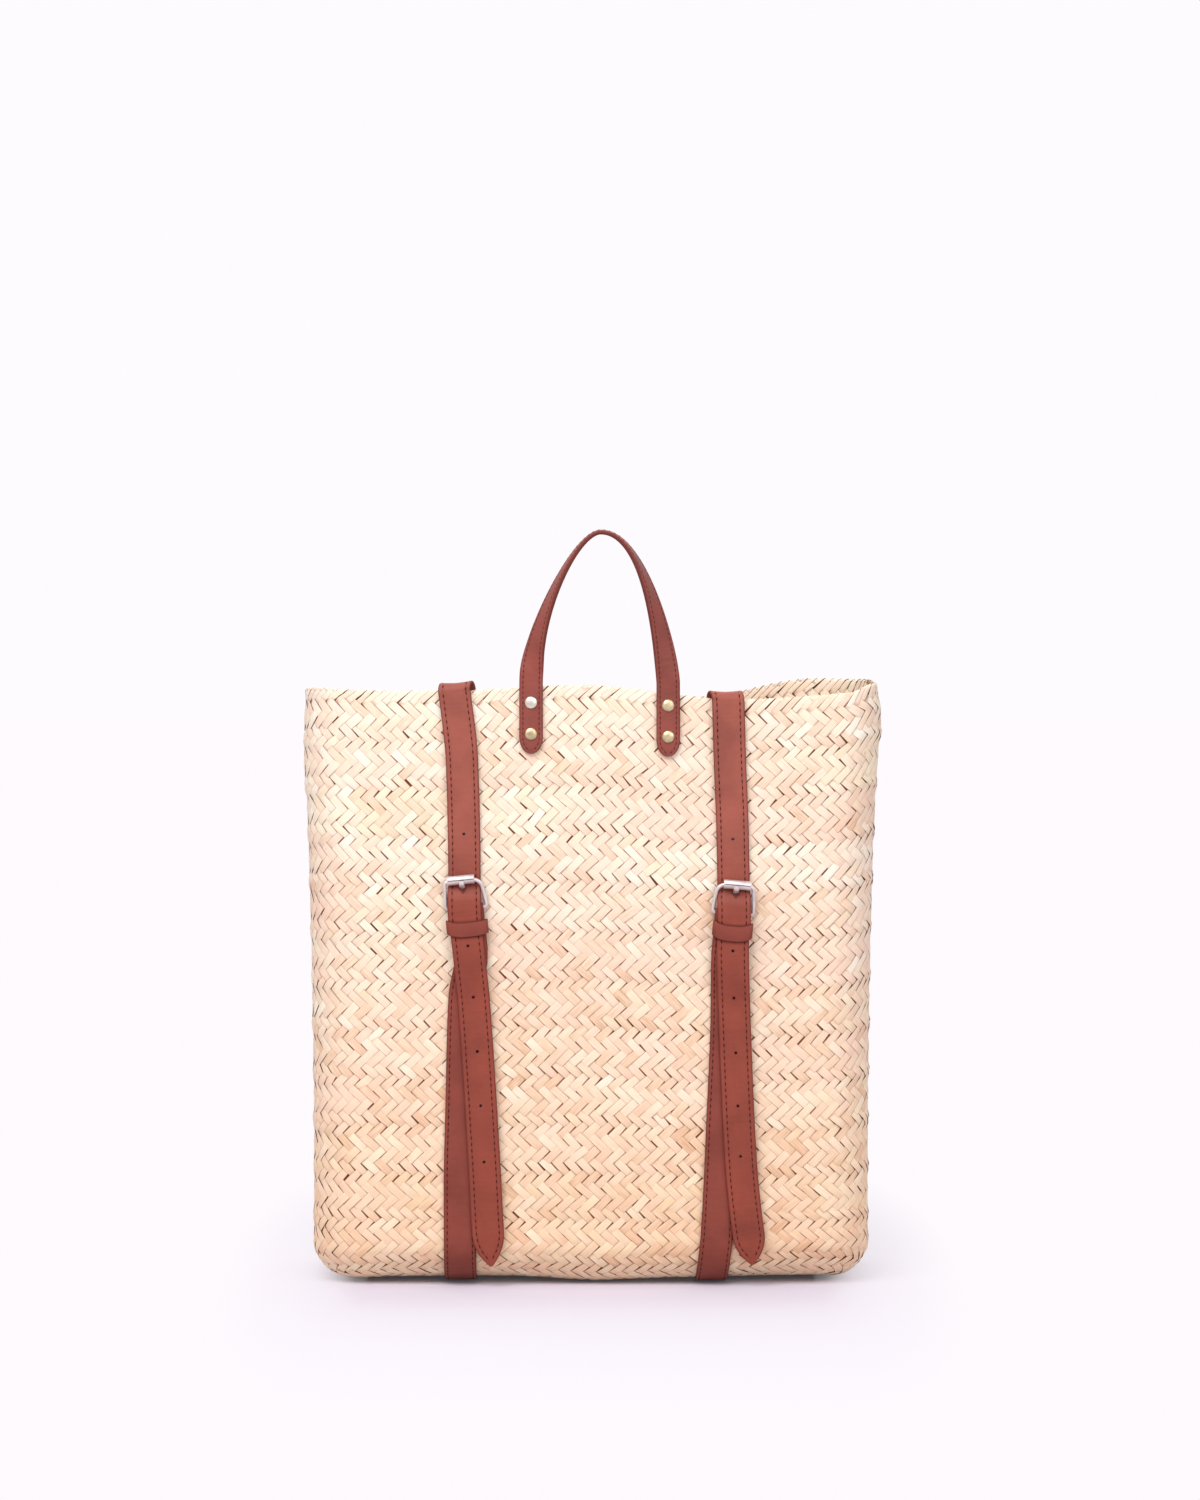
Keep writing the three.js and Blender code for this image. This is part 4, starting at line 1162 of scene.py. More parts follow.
    def core(self) -> Piece:
        """The closed shell behind the leaves, seen through the gaps.

        Returns:
            The shell.
        """
        form = self.form
        outer = form.wall_run + form.base_edge * math.pi / 2.0
        inner = form.wall_run + (form.base_edge - form.wall) * math.pi / 2.0
        flat = form.half_depth(0.0) - form.base_edge - 0.5
        wall = np.linspace(0.0, form.wall_run, 22)[:-1]
        down, up = (np.concatenate((wall, np.linspace(form.wall_run, turned, 8)[:-1],
                                    np.linspace(turned, turned + flat, 6))) for turned in (outer, inner))
        q = np.concatenate((down[::-1], -form.rim_fold * np.linspace(0.15, 0.85, 5), -form.rim_fold - up))
        s = np.linspace(0.0, form.girth, 161)
        s_grid, q_grid = np.meshgrid(s, q)
        points = form.surface(s_grid, q_grid) - form.normal(s_grid, q_grid) * self.core_inset
        return laid_grid("basket_core", points)

    def build(self, leaf: PalmLeaf, core: PlaitCore) -> list[Piece]:
        """Builds the basket and sets it on the bag.

        Args:
            leaf: the leaves' finish.
            core: the finish behind the gaps.

        Returns:
            The pieces.
        """
        short = self.leaf((-self.tuck_to, -self.tuck_from, 0.0, self.tuck_from, self.tuck_to))
        reach = (self.form.rim_fold / 2.0 + self.row_height) / math.sin(self.slant)
        far = reach / self.float_half + 0.1
        long = self.leaf(tuple(np.array(self.rim_stations) * far))
        short_shape, long_shape = (corners_of(template).astype(float) for template in (short, long))
        outside, inside = ([self.lay_row(row, short_shape) for row in self.rows(face)] for face in (False, True))
        rim = [self.rim_row(long_shape)]
        low = self.form.underside + self.base_height
        middle = self.form.set_back
        material = leaf.material()
        pieces = [
            self.joined("basket_front_plait", short, outside, lambda m: (m[:, 1] < middle) & (m[:, 2] >= low)),
            self.joined("basket_back_plait", short, outside, lambda m: (m[:, 1] >= middle) & (m[:, 2] >= low)),
            self.joined("basket_base_plait", short, outside, lambda m: m[:, 2] < low),
            self.joined("basket_inside_front_plait", short, inside, lambda m: m[:, 1] < middle),
            self.joined("basket_inside_back_plait", short, inside, lambda m: m[:, 1] >= middle),
            self.joined("basket_rim_plait", long, rim, lambda m: m[:, 2] > 0.0),
        ]
        for piece in pieces:
            dress(piece, material, "palm_leaf")
            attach(piece, "bag")
        shell = self.core()
        smooth_edges(shell)
        dress(shell, core.material(), "palm_leaf")
        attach(shell, "bag")
        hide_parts("basket")
        discard(short)
        discard(long)
        return [shell, *pieces]


# Leather


@dataclass(frozen=True)
class Leather:
    """Dyed cowhide: a smooth tan face with fine grain and darker turned edges."""

    name: str
    face: Colour
    edge: Colour
    # Colour the tail darkens to: painted shade, as the tail hangs lower and gets less light.
    tail: Optional[Colour] = None
    tail_shade_from: float = 165.0
    tail_shade_to: float = 226.0
    roughness: float = 0.5

    def material(self) -> Material:
        """The leather's material, from its edge attribute and its own UV map in millimetres.

        Returns:
            The material.
        """
        made, t, shader = new_material(self.name)
        mottle, speckle = t.mottle(slow=38.0, quick=620.0)
        uv, face = t.uv(), srgb(*self.face)
        deep, pale = (srgb(*shaded(self.face, share)) for share in (0.91, 1.07))
        colour = t.ramp(mottle, [(0.3, deep), (0.5, face), (0.72, pale)])
        # Painted shade: the tail, low on the bag, darker and redder than the strap above.
        if self.tail is not None:
            tint = tuple(min(1.0, a / b) for a, b in zip(srgb(*self.tail), face))
            colour = t.mix(t.span(t.part(uv, 0), self.tail_shade_from, self.tail_shade_to, 0.0, 1.0), colour, tint, "MULTIPLY")
        colour = t.mix(t.span(speckle, 0.35, 0.75, 0.0, 0.16), colour, deep)
        pores = t.add("ShaderNodeTexVoronoi", {"Vector": t.place(), "Scale": 1500.0}, feature="SMOOTH_F1").outputs[0]
        crease = t.noise(t.stretched(uv, (0.34, 0.05, 1.0)), 1.0, detail=3.0)
        height = t.math("ADD", t.math("MULTIPLY", pores, 0.16), crease)
        t.put(shader, {
            # The edge attribute holds the darker turned edges and, on the upper strap, painted shade beside the keeper.
            "Base Color": t.mix(t.attribute("edge"), colour, srgb(*self.edge)),
            "Roughness": t.graded(mottle, self.roughness - 0.05, self.roughness + 0.08),
            "Normal": t.bump(height, strength=0.5, distance=0.0006),
            "Specular IOR Level": 0.2,
        })
        return made


@dataclass(frozen=True)
class Thread:
    """Waxed dark brown sewing thread."""

    name: str = "waxed_thread"
    colour: Colour = (84, 32, 26)

    def material(self) -> Material:
        """The thread's material, with its twist as fine streaks.

        Returns:
            The material.
        """
        made, t, shader = new_material(self.name)
        mottle, speckle = t.mottle(slow=300.0, quick=2600.0)
        dark, plain = (srgb(*shaded(self.colour, share)) for share in (0.75, 1.0))
        t.put(shader, {
            "Base Color": t.ramp(speckle, [(0.35, dark), (0.65, plain)]),
            "Roughness": t.graded(mottle, 0.7, 0.85),
            "Specular IOR Level": 0.12,
        })
        return made


@dataclass(frozen=True)
class PlatedMetal:
    """Plated steel or brass, with slow tarnish and fine scratches."""

    name: str
    colour: Colour
    tarnish: Colour
    roughness: float
    metallic: float = 1.0

    def material(self) -> Material:
        """The metal's material.

        Returns:
            The material.
        """
        made, t, shader = new_material(self.name)
        mottle, speckle = t.mottle(slow=210.0, quick=1800.0)
        t.put(shader, {
            "Base Color": t.ramp(mottle, [(0.32, srgb(*self.tarnish)), (0.6, srgb(*self.colour))]),
            "Roughness": t.graded(speckle, self.roughness - 0.06, self.roughness + 0.1),
            "Normal": t.bump(speckle, strength=0.12, distance=0.0001),
            "Metallic": self.metallic,
        })
        return made


@dataclass(frozen=True)
class Finishes:
    """The materials that the leather and the fittings share."""

    strap: Material
    lower: Material
    handle: Material
    raw: Material
    thread: Material
    handle_thread: Material
    nickel: Material
    brass: Material
    worn_brass: Material

    @classmethod
    def mixed(cls) -> "Finishes":
        """Makes each material once.

        Returns:
            The finishes.
        """
        return cls(
            # The strap leather's tail colour is painted shade.
            strap=Leather("tan_strap_leather", (155, 85, 72), (108, 47, 38), tail=(141, 67, 53)).material(),
            lower=Leather("tan_lower_leather", (135, 66, 55), (104, 45, 37)).material(),
            handle=Leather("tan_handle_leather", (138, 72, 63), (106, 48, 41)).material(),
            # Near-black cut walls: painted shade inside the punched holes and the prong's slot.
            raw=Leather("raw_leather", (58, 25, 19), (58, 25, 19)).material(),
            thread=Thread().material(),
            handle_thread=Thread("handle_thread", (112, 50, 42)).material(),
            nickel=PlatedMetal("nickel", (222, 210, 209), (202, 190, 189), 0.45, 0.65).material(),
            brass=PlatedMetal("antique_brass", (212, 196, 160), (178, 156, 118), 0.34).material(),
            # A paler, silvery copy of the brass for one rivet: painted highlight.
            worn_brass=PlatedMetal("worn_brass", (236, 229, 216), (206, 197, 180), 0.3).material(),
        )


@dataclass(frozen=True)
class Ribbon:
    """A strip of leather along a path: its middle, facing, half width and thickness at each station."""

    centre: Array
    face: Array
    half: Array
    thick: Array
    seam: float
    crown_run: float = 3.2
    stitch_share: float = 0.29
    stitch_width: float = 0.46
    stitch_rise: float = 0.36
    stitch_sunk: float = 0.08

    @classmethod
    def through(cls, stations: Sequence[Station], seam: float) -> "Ribbon":
        """A ribbon through stations.

        Args:
            stations: middle, facing, half width and thickness of each.
            seam: distance of the stitching from the edge.

        Returns:
            The ribbon.
        """
        centre, face, half, thick = (np.array(column) for column in zip(*stations))
        return cls(centre, unit(face), half, thick, seam)

    @property
    def length(self) -> Array:
        """Length along the ribbon up to each station."""
        return lengths_along(self.centre)

    def frames(self) -> tuple[Array, Array, Array]:
        """Directions along, across and out of the ribbon at each station.

        Returns:
            The three directions.
        """
        travel = unit(np.gradient(self.centre, axis=0))
        across = unit(np.cross(self.face, travel))
        return travel, across, np.cross(travel, across)

    def taper(self) -> Array:
        """Change of the half width along the ribbon."""
        return np.gradient(self.half, self.length)

    def section(self) -> list[tuple[float, float, float, float, float]]:
        """Closed section: side, inset from the edge, share of half the thickness, rise and edge mark of each corner.

        Returns:
            The corners, the first of them again at the end.
        """
        groove = self.seam
        outer = [(0.0, 0.0, 0.0, 1.0), (0.16, 0.6, 0.0, 0.9), (0.6, 1.0, -0.08, 0.35), (1.3, 1.0, 0.06, 0.0),
                 (groove - 0.5, 1.0, 0.03, 0.05), (groove, 1.0, -0.16, 0.5), (groove + 0.5, 1.0, 0.06, 0.05),
                 (groove + 2.2, 1.0, 0.14, 0.0)]
        inner = [(0.6, -1.0, 0.0, 0.8), (0.16, -0.6, 0.0, 1.0)]
        loop = [(-1.0, *corner) for corner in outer] + [(0.0, 0.0, 1.0, 0.17, 0.0)]
        loop += [(1.0, *corner) for corner in reversed(outer)] + [(1.0, *corner) for corner in reversed(inner)]
        return loop + [(-1.0, *corner) for corner in inner] + [loop[0]]

    def leather(self, name: str) -> Piece:
        """The strip itself, with rolled edges, a pressed stitching line and a crowned middle.

        Args:
            name: the piece's name.

        Returns:
            The closed piece.
        """
        _, across, out = self.frames()
        stretch = np.sqrt(1.0 + self.taper() ** 2)
        fit = np.minimum(1.0, self.half / (self.seam + self.crown_run))
        u, v, edge = [], [], []
        for side, inset, share, rise, mark in self.section():
            u.append(side * np.maximum(self.half - inset * stretch * fit, 0.0))
            v.append(share * self.thick / 2.0 + rise * fit)
            edge.append(np.full(len(self.half), mark))
        u, v, edge = (np.stack(values, axis=1) for values in (u, v, edge))
        points = self.centre[:, None] + across[:, None] * u[..., None] + out[:, None] * v[..., None]
        along = np.broadcast_to(self.length[:, None], u.shape)
        piece = laid_grid(name, points, {"edge": edge}, np.stack((along, u), axis=-1))
        smooth_edges(piece, 62.0)
        return piece

    def stitched(self, name: str, pitch: float, begin: float, end: float) -> Piece:
        """The stitches along both edges.

        Args:
            name: the piece's name.
            pitch: length from stitch to stitch.
            begin: length along the ribbon at which they start.
            end: length along the ribbon at which they end.

        Returns:
            All the stitches as one piece.
        """
        deselect_all()
        bpy.ops.mesh.primitive_uv_sphere_add(segments=8, ring_count=5, radius=1.0)
        stitch = bpy.context.object
        shape = corners_of(stitch)[:, [2, 0, 1]] * np.array(
            (pitch * self.stitch_share, self.stitch_width, self.stitch_rise))
        length, slope = self.length, self.taper()
        stretch = np.sqrt(1.0 + slope ** 2)
        path_along = length + self.seam * slope / stretch
        path_across = self.half - self.seam / stretch
        kept = (length >= begin) & (length <= end) & (path_across > 0.25)
        run = np.stack((path_along[kept], path_across[kept]), axis=-1)
        far = lengths_along(run)
        at = np.arange(pitch * 0.6, far[-1], pitch)
        along, over = (np.interp(at, far, run[:, k]) for k in range(2))
        drift = np.interp(at, far, np.gradient(run[:, 1], far))
        travel, across, out, middle = (np.stack([np.interp(along, length, line[:, k]) for k in range(3)], axis=-1)
                                       for line in (*self.frames(), self.centre))
        rise = np.interp(along, length, self.thick)[:, None] / 2.0 - self.stitch_sunk
        copies = []
        for side in (-1.0, 1.0):
            heading = unit(travel + across * (side * drift)[:, None])
            cross = np.cross(out, heading)
            place = middle + across * (side * over)[:, None] + out * rise
            copies.append(place[:, None] + heading[:, None] * shape[None, :, :1] + cross[:, None] * shape[None, :, 1:2]
                          + out[:, None] * shape[None, :, 2:])
        piece = stamped(name, stitch, np.concatenate(copies))
        discard(stitch)
        smooth_edges(piece, 80.0)
        return piece


def swept_loop(name: str, path: Array, side: Array, out: Array, section: Array) -> Piece:
    """A section swept along a path.

    Args:
        name: the piece's name.
        path: stations by 3.
        side: direction of the section's first axis, one for all stations or one for each.
        out: direction of the section's second axis, in the same way.
        section: corners of the closed section by 2, or one set of corners for each station.

    Returns:
        The closed piece.
    """
    corners = np.broadcast_to(section, (len(path), *section.shape[-2:]))
    corners = np.concatenate((corners, corners[:, :1]), axis=1)
    side, out = (np.broadcast_to(axis, path.shape)[:, None] for axis in (side, out))
    return laid_grid(name, path[:, None] + side * corners[..., :1] + out * corners[..., 1:])


def rounded_section(width: float, height: float, corner: float, steps: int) -> Array:
    """Corners of a rounded rectangle about its middle.

    Args:
        width: size along the first axis.
        height: size along the second axis.
        corner: radius of the corners.
        steps: steps round each corner.

    Returns:
        The corners by 2.
    """
    made = []
    for turn, (x, y) in enumerate(((1, 1), (-1, 1), (-1, -1), (1, -1))):
        for step in range(steps + 1):
            angle = math.pi / 2.0 * (turn + step / steps)
            made.append((x * (width / 2.0 - corner) + corner * math.cos(angle),
                         y * (height / 2.0 - corner) + corner * math.sin(angle)))
    return np.array(made)


def cut(piece: Piece, cutter: Piece, wall: Material) -> None:
    """Cuts one closed piece out of another and removes the cutter.

    Args:
        piece: the dressed piece.
        cutter: the shape to take away.
        wall: material of the faces that the cut leaves.
    """
    cutter.data.materials.append(wall)
    make_active(piece)
    modifier = piece.modifiers.new("cut", "BOOLEAN")
    modifier.object = cutter
    modifier.operation = "DIFFERENCE"
    modifier.solver = "EXACT"
    modifier.material_mode = "TRANSFER"
    bpy.ops.object.modifier_apply(modifier=modifier.name)
    discard(cutter)


@dataclass(frozen=True)
class StrapPlan:
    """Where one shoulder strap lies on the bag, in millimetres and degrees."""

    side: Side
    bar: float
    bar_x: float
    lean: float
    roller_shift: float
    tail_tip: float
    tip_length: float
    holes: tuple[float, ...]
    return_shift: float
    fold_roll: float
    fold_shift: float
    frame_shift: float
    keeper_shift: float
    keeper_width: float
    keeper_height: float
    keeper_level: float
    keeper_ends: tuple[float, float]
    upper_line: Pairs
    lower_line: Pairs
    tail_axis: tuple[float, float, float]


LEFT_PLAN = StrapPlan(
    Side.LEFT, bar=259.8, bar_x=-85.6, lean=5.5, roller_shift=-0.7, return_shift=3.4, fold_roll=6.0,
    tail_tip=15.3, tip_length=24.0, holes=(25.0, 60.2, 97.2, 134.2, 172.7),
    fold_shift=1.9, frame_shift=1.4, keeper_shift=0.8, keeper_width=27.2,
    keeper_height=9.6, keeper_level=-14.4, keeper_ends=(2.6, 1.3),
    upper_line=((-4.5, -93.0), (48.5, -87.3), (106.5, -85.9), (148.5, -85.5), (174.5, -82.9), (214.5, -79.1),
                (324.5, -72.3), (372.5, -69.8), (406.5, -66.0)),
    lower_line=((0.0, -89.2), (0.3, -89.2), (0.558, -87.9), (0.871, -85.9)), tail_axis=(-83.846, -80.484, 239.596))
RIGHT_PLAN = StrapPlan(
    Side.RIGHT, bar=256.3, bar_x=96.9, lean=-5.0, roller_shift=0.7, return_shift=-3.4, fold_roll=-1.0,
    tail_tip=16.3, tip_length=21.0, holes=(25.0, 57.3, 94.7, 131.0, 165.5),
    fold_shift=-1.8, frame_shift=-0.7, keeper_shift=0.0, keeper_width=26.2,
    keeper_height=10.4, keeper_level=-13.6, keeper_ends=(3.4, 3.0),
    upper_line=((-4.5, 92.8), (48.5, 94.2), (96.5, 96.1), (154.5, 96.9), (176.5, 96.0), (214.5, 97.1),
                (324.5, 102.1), (406.5, 112.0)),
    lower_line=((0.0, 82.4), (0.15, 85.6), (0.5, 89.3), (0.885, 92.3)), tail_axis=(96.354, -80.112, 236.096))


@dataclass
class ShoulderStrap:
    """One shoulder strap: its upper strap and tail, its lower strap, keeper and roller buckle."""

    form: BasketForm
    plan: StrapPlan
    half: float = 11.0
    thick: float = 2.2
    skived: float = 1.4
    seam: float = 3.2
    lower_seam: float = 2.4
    stitch_pitch: float = 4.4
    hole: float = 1.05
    spare_hole: float = 50.6
    wire: float = 1.25
    bar_out: float = 3.55
    bar_wrap: float = 2.25
    frame_width: float = 27.0
    frame_reach: float = 19.3
    frame_rise: float = 2.8
    bar_corner: float = 2.5
    inner_corner: float = 5.6
    outer_corner: float = 3.2
    frame_flare: float = 1.03
    frame_taper: float = 0.07
    roller_length: float = 18.6
    roller_radius: float = 3.15
    roller_bore: float = 2.45
    roller_seam: float = 0.6
    roller_out: float = 6.35
    roller_up: float = 19.696
    prong_line: Pairs = ((3.75, 1.95), (3.3, 5.0), (2.5, 9.0), (2.2, 12.4), (3.2, 14.0), (6.2, 15.0), (9.0, 16.1),
                         (10.4, 17.8), (10.6, 19.2))
    prong_slot: Pairs = ((2.0, 13.7), (2.1, 14.0), (2.1, 15.5), (1.6, 16.0),
                         (-1.6, 16.0), (-2.1, 15.5), (-2.1, 14.0), (-2.0, 13.7))
    prong_dent: Pairs = ((0.0, 10.0), (0.7, 10.6), (2.5, 13.6), (2.4, 14.6), (-2.4, 14.6), (-2.5, 13.6), (-0.7, 10.6))
    prong_section: tuple[float, float, float] = (3.7, 1.8, 0.75)
    eye_section: tuple[float, float, float] = (3.2, 1.25, 0.4)
    eye_radius: float = 2.175
    keeper_out: float = 6.15
    keeper_depth: float = 6.5
    keeper_corner: float = 2.9
    keeper_thick: float = 1.25
    keeper_edge: float = 0.55
    keeper_crown: float = 0.25
    keeper_reach: float = 13.3
    fold_line: Pairs = ((-98.0, 2.8), (-58.0, 2.8), (-31.0, 6.0), (-6.0, 6.0), (0.0, 6.5), (1.0, 6.5))
    dive_line: Pairs = ((-1.0, 7.9), (5.0, 7.9), (19.096, 2.0), (22.696, 2.0), (49.696, 1.7), (59.696, 1.7))
    ease_line: Pairs = ((-90.0, 0.0), (-62.0, 0.9))
    lower_top: float = -34.0
    lower_end: float = 42.0
    lower_gap: float = 0.3
    lower_stitch_from: float = 4.0
    lower_unstitched: float = 46.0
    fold_back_out: float = 1.3
    tail_gap: float = 1.4
    tail_settle: float = 6.0
    tail_settle_from: float = -18.0
    tail_settle_run: float = 8.0
    pressed_out: float = 0.45
    pressed_from: float = -16.0
    pressed_to: float = 17.0
    pressed_ease: float = 6.0
    inside_run: float = 58.0
    inside_out: float = -5.3
    rim_drop: float = 1.149
    rim_out: float = -1.35
    rim_wrap: float = 3.95
    rim_rivets: Levels = (("upper", 22.0), ("lower", 44.0))
    rim_rivet_out: float = 0.3
    rim_rivet_stack: float = 7.0
    base_rivets: Levels = (("front", -26.0), ("back", 28.0))
    base_rivet_stack: float = 5.3

    def __post_init__(self) -> None:
        """Finds the buckle's place on the wall and the lines that the straps follow."""
        plan, form = self.plan, self.form
        normal = form.wall_normal(plan.bar_x, plan.bar)
        rise = unit(np.array((0.0, 0.0, 1.0)) - normal * normal[2])
        turn = Matrix.Rotation(math.radians(plan.lean), 3, Vector(normal))
        self.out = normal
        self.up = np.array(turn @ Vector(rise))
        self.across = np.cross(-normal, self.up)
        self.origin = form.off_wall(plan.bar_x, plan.bar, 0.0)
        self.upper = Line(plan.upper_line)
        foot = self.local(plan.fold_shift, 0.0, self.lower_top)
        self.lower = Line([(share * foot[2], x) for share, x in plan.lower_line] + [(foot[2], foot[0])])
        self.fold_out, self.dive_out = Line(self.fold_line), Line(self.dive_line)

    @property
    def side(self) -> str:
        """The side's name in piece and body names."""
        return self.plan.side.value

    def local(self, x: float, out: float, up: float) -> Array:
        """Point by the buckle: across, off the wall and up from the bar."""
        return self.origin + self.across * x + self.out * out + self.up * up

    def upper_x(self, z: float) -> float:
        """Middle of the upper strap and tail at a height."""
        return self.upper(self.form.rim - z)

    def front_out(self, z: float) -> float:
        """How far the middle of the upper strap and tail stands off the wall.

        Args:
            z: height.

        Returns:
            The distance.
        """
        above = z - self.plan.bar
        if above < 0.0:
            share = smooth((self.tail_settle_from - above) / self.tail_settle_run)
            return self.fold_out(above + self.tail_settle * share) + self.tail_gap
        rim = self.rim_top()
        eased = Line([(rim + rise, out) for rise, out in self.ease_line])
        return self.dive_out(above) + eased(z)

    def rim_top(self) -> float:
        """Highest point of the front rim under the strap."""
        x = self.upper_x(self.form.rim)
        return max(self.form.front_rim(x + step) for step in (-self.half, 0.0, self.half))

    def on_front(self, z: float, half: float) -> Station:
        """Station of the upper strap or tail on the front."""
        x = self.upper_x(z)
        return self.form.off_wall(x, z, self.front_out(z)), self.form.wall_normal(x, z), half, self.thick

    def spread(self, z: float) -> float:
        """How far each edge of the upper strap is pressed out between the frame's legs.

        Args:
            z: height.

        Returns:
            The distance.
        """
        above = z - self.plan.bar
        low, high = (smooth(t / self.pressed_ease) for t in (above - self.pressed_from, self.pressed_to - above))
        return float(self.pressed_out * low * high)

    def upper_ribbon(self) -> Ribbon:
        """The upper strap from inside the rim, over it, through the buckle and down to the tail's tip.

        Returns:
            The ribbon.
        """
        form, plan = self.form, self.plan
        rim_x, rim = self.upper_x(form.rim), self.rim_top()
        normal = form.wall_normal(rim_x, rim)
        fold_z = rim - self.rim_drop
        stations = [(form.off_wall(rim_x + plan.return_shift, z, self.inside_out), -normal, self.half, self.thick)
                    for z in np.linspace(rim - self.inside_run, fold_z - 1.5, 18)]
        roll = math.radians(plan.fold_roll)
        top = np.array((-math.sin(roll), 0.0, math.cos(roll)))
        for angle in np.linspace(math.pi, 0.0, 17):
            share = math.sin(angle)
            face = normal * math.cos(angle) + top * share
            back = plan.return_shift * (1.0 - math.cos(angle)) / 2.0
            shift = np.array((back, 0.0, 0.12 * abs(plan.fold_roll) * share))
            place = form.off_wall(rim_x, fold_z, self.rim_out) + shift + face * self.rim_wrap
            stations.append((place, face, self.half, self.thick))
        above = np.arange(fold_z - 1.5, plan.bar + 28.0, -3.0)
        by_buckle = np.arange(plan.bar + 27.0, plan.bar - 34.0, -0.8)
        below = np.arange(plan.bar - 36.0, plan.tail_tip + plan.tip_length, -3.0)
        stations += [self.on_front(z, self.half + self.spread(z)) for z in np.concatenate((above, by_buckle, below))]
        for point in np.linspace(0.0, 1.0, 18):
            z = plan.tail_tip + plan.tip_length * (1.0 - point)
            stations.append(self.on_front(z, self.half * (1.0 - 0.9 * point ** 2.3)))
        return Ribbon.through(stations, self.seam)

    def lower_ribbon(self) -> Ribbon:
        """The lower strap from under the base, up the wall and round the buckle's bar.

        Returns:
            The ribbon.
        """
        form, plan = self.form, self.plan
        foot_x = plan.lower_line[0][1]
        edge_z = form.underside + form.base_edge
        edge_y = form.wall_y(foot_x, edge_z) + form.base_edge
        wall = form.wall_normal(foot_x, edge_z)
        outwards = unit(np.array((wall[0], wall[1], 0.0)))
        middle = self.thick / 2.0
        stations = [(np.array((foot_x, y, middle)), DOWN, self.half, self.thick)
                    for y in np.linspace(self.lower_end + form.set_back, edge_y + 3.0, 26)]
        for angle in np.linspace(0.0, math.pi / 2.0, 15):
            reach = form.base_edge + self.lower_gap + self.lower_gap * angle / (math.pi / 2.0) + middle
            centre = np.array((self.lower(edge_z * (1.0 - math.cos(angle))), edge_y - reach * math.sin(angle),
                               edge_z - reach * math.cos(angle)))
            stations.append((centre, DOWN * math.cos(angle) + outwards * math.sin(angle), self.half, self.thick))
        for z in np.arange(edge_z + 3.0, plan.bar - 36.0, 3.0):
            x = self.lower(z)
            place = form.off_wall(x, z, self.fold_out(z - plan.bar) - middle)
            stations.append((place, form.wall_normal(x, z), self.half, self.thick))
        stations = [(place - DOWN * float(form.lift(place)), *rest) for place, *rest in stations]
        skive = Line([(-8.0, self.thick), (-6.0, self.thick), (-0.5, self.skived), (0.0, self.skived)])
        for up in np.arange(-30.0, -0.4, 1.5):
            place = self.local(plan.fold_shift, self.fold_out(up) - skive(up) / 2.0, up)
            stations.append((place, self.out, self.half, skive(up)))
        for angle in np.linspace(0.0, math.pi, 13):
            face = self.out * math.cos(angle) + self.up * math.sin(angle)
            place = self.local(plan.fold_shift, self.bar_out, 0.0) + face * self.bar_wrap
            stations.append((place, face, self.half, self.skived))
        for up in np.arange(-1.5, -30.1, -2.0):
            stations.append((self.local(plan.fold_shift, self.fold_back_out, up), -self.out, self.half, self.skived))
        return Ribbon.through(stations, self.lower_seam)

    def punch(self, strap: Piece, raw: Material, worn: Material) -> None:
        """Punches the adjusting holes and the hole that the prong stretches.

        Args:
            strap: the dressed strap.
            raw: material of the cut walls, dark as painted shade inside the holes.
            worn: material of the dent that the prong's tip wears, a darker leather that is partly painted shade of the
                dent's V.
        """
        plan, form = self.plan, self.form
        heights = [plan.bar + self.spare_hole] + [plan.bar - drop for drop in plan.holes]
        deselect_all()
        punches = []
        for z in heights:
            x = self.upper_x(z)
            normal = Vector(form.wall_normal(x, z))
            place = Vector(form.off_wall(x, z, self.front_out(z))) * MM
            bpy.ops.mesh.primitive_cylinder_add(vertices=20, radius=self.hole * MM, depth=9.0 * MM, location=place,
                                                rotation=normal.to_track_quat("Z", "Y").to_euler())
            punches.append(bpy.context.object)
        join_up(punches)
        bpy.ops.object.transform_apply(location=True, rotation=True, scale=True)
        cut(strap, bpy.context.object, raw)
        # The dent's floor takes the darker lower leather: painted shade of the V under the prong, with its wear.
        for name, corners, depth, wall in (("prong_dent", self.prong_dent, 0.8, worn),
                                           ("prong_slot", self.prong_slot, 6.0, raw)):
            ends = [[self.local(x, self.dive_out(up) + out, up) for x, up in (*corners, corners[0])]
                    for out in (1.15 - depth, 6.0)]
            cut(strap, laid_grid(name, np.array(ends)), wall)

    def sag(self, x: Array) -> Array:
        """How far the keeper lies above its level at a place across it, turned up at its ends."""
        left, right = self.plan.keeper_ends
        return np.where(x < 0.0, left, right) * np.abs(x / self.keeper_reach) ** 3

    def from_keeper(self, piece: Piece) -> Array:
        """How far each vertex of a piece lies above or below the keeper's middle line."""
        away = corners_of(piece) / MM - self.local(self.plan.keeper_shift, self.keeper_out, self.plan.keeper_level)
        return np.abs(away @ self.up - self.sag(away @ self.across))

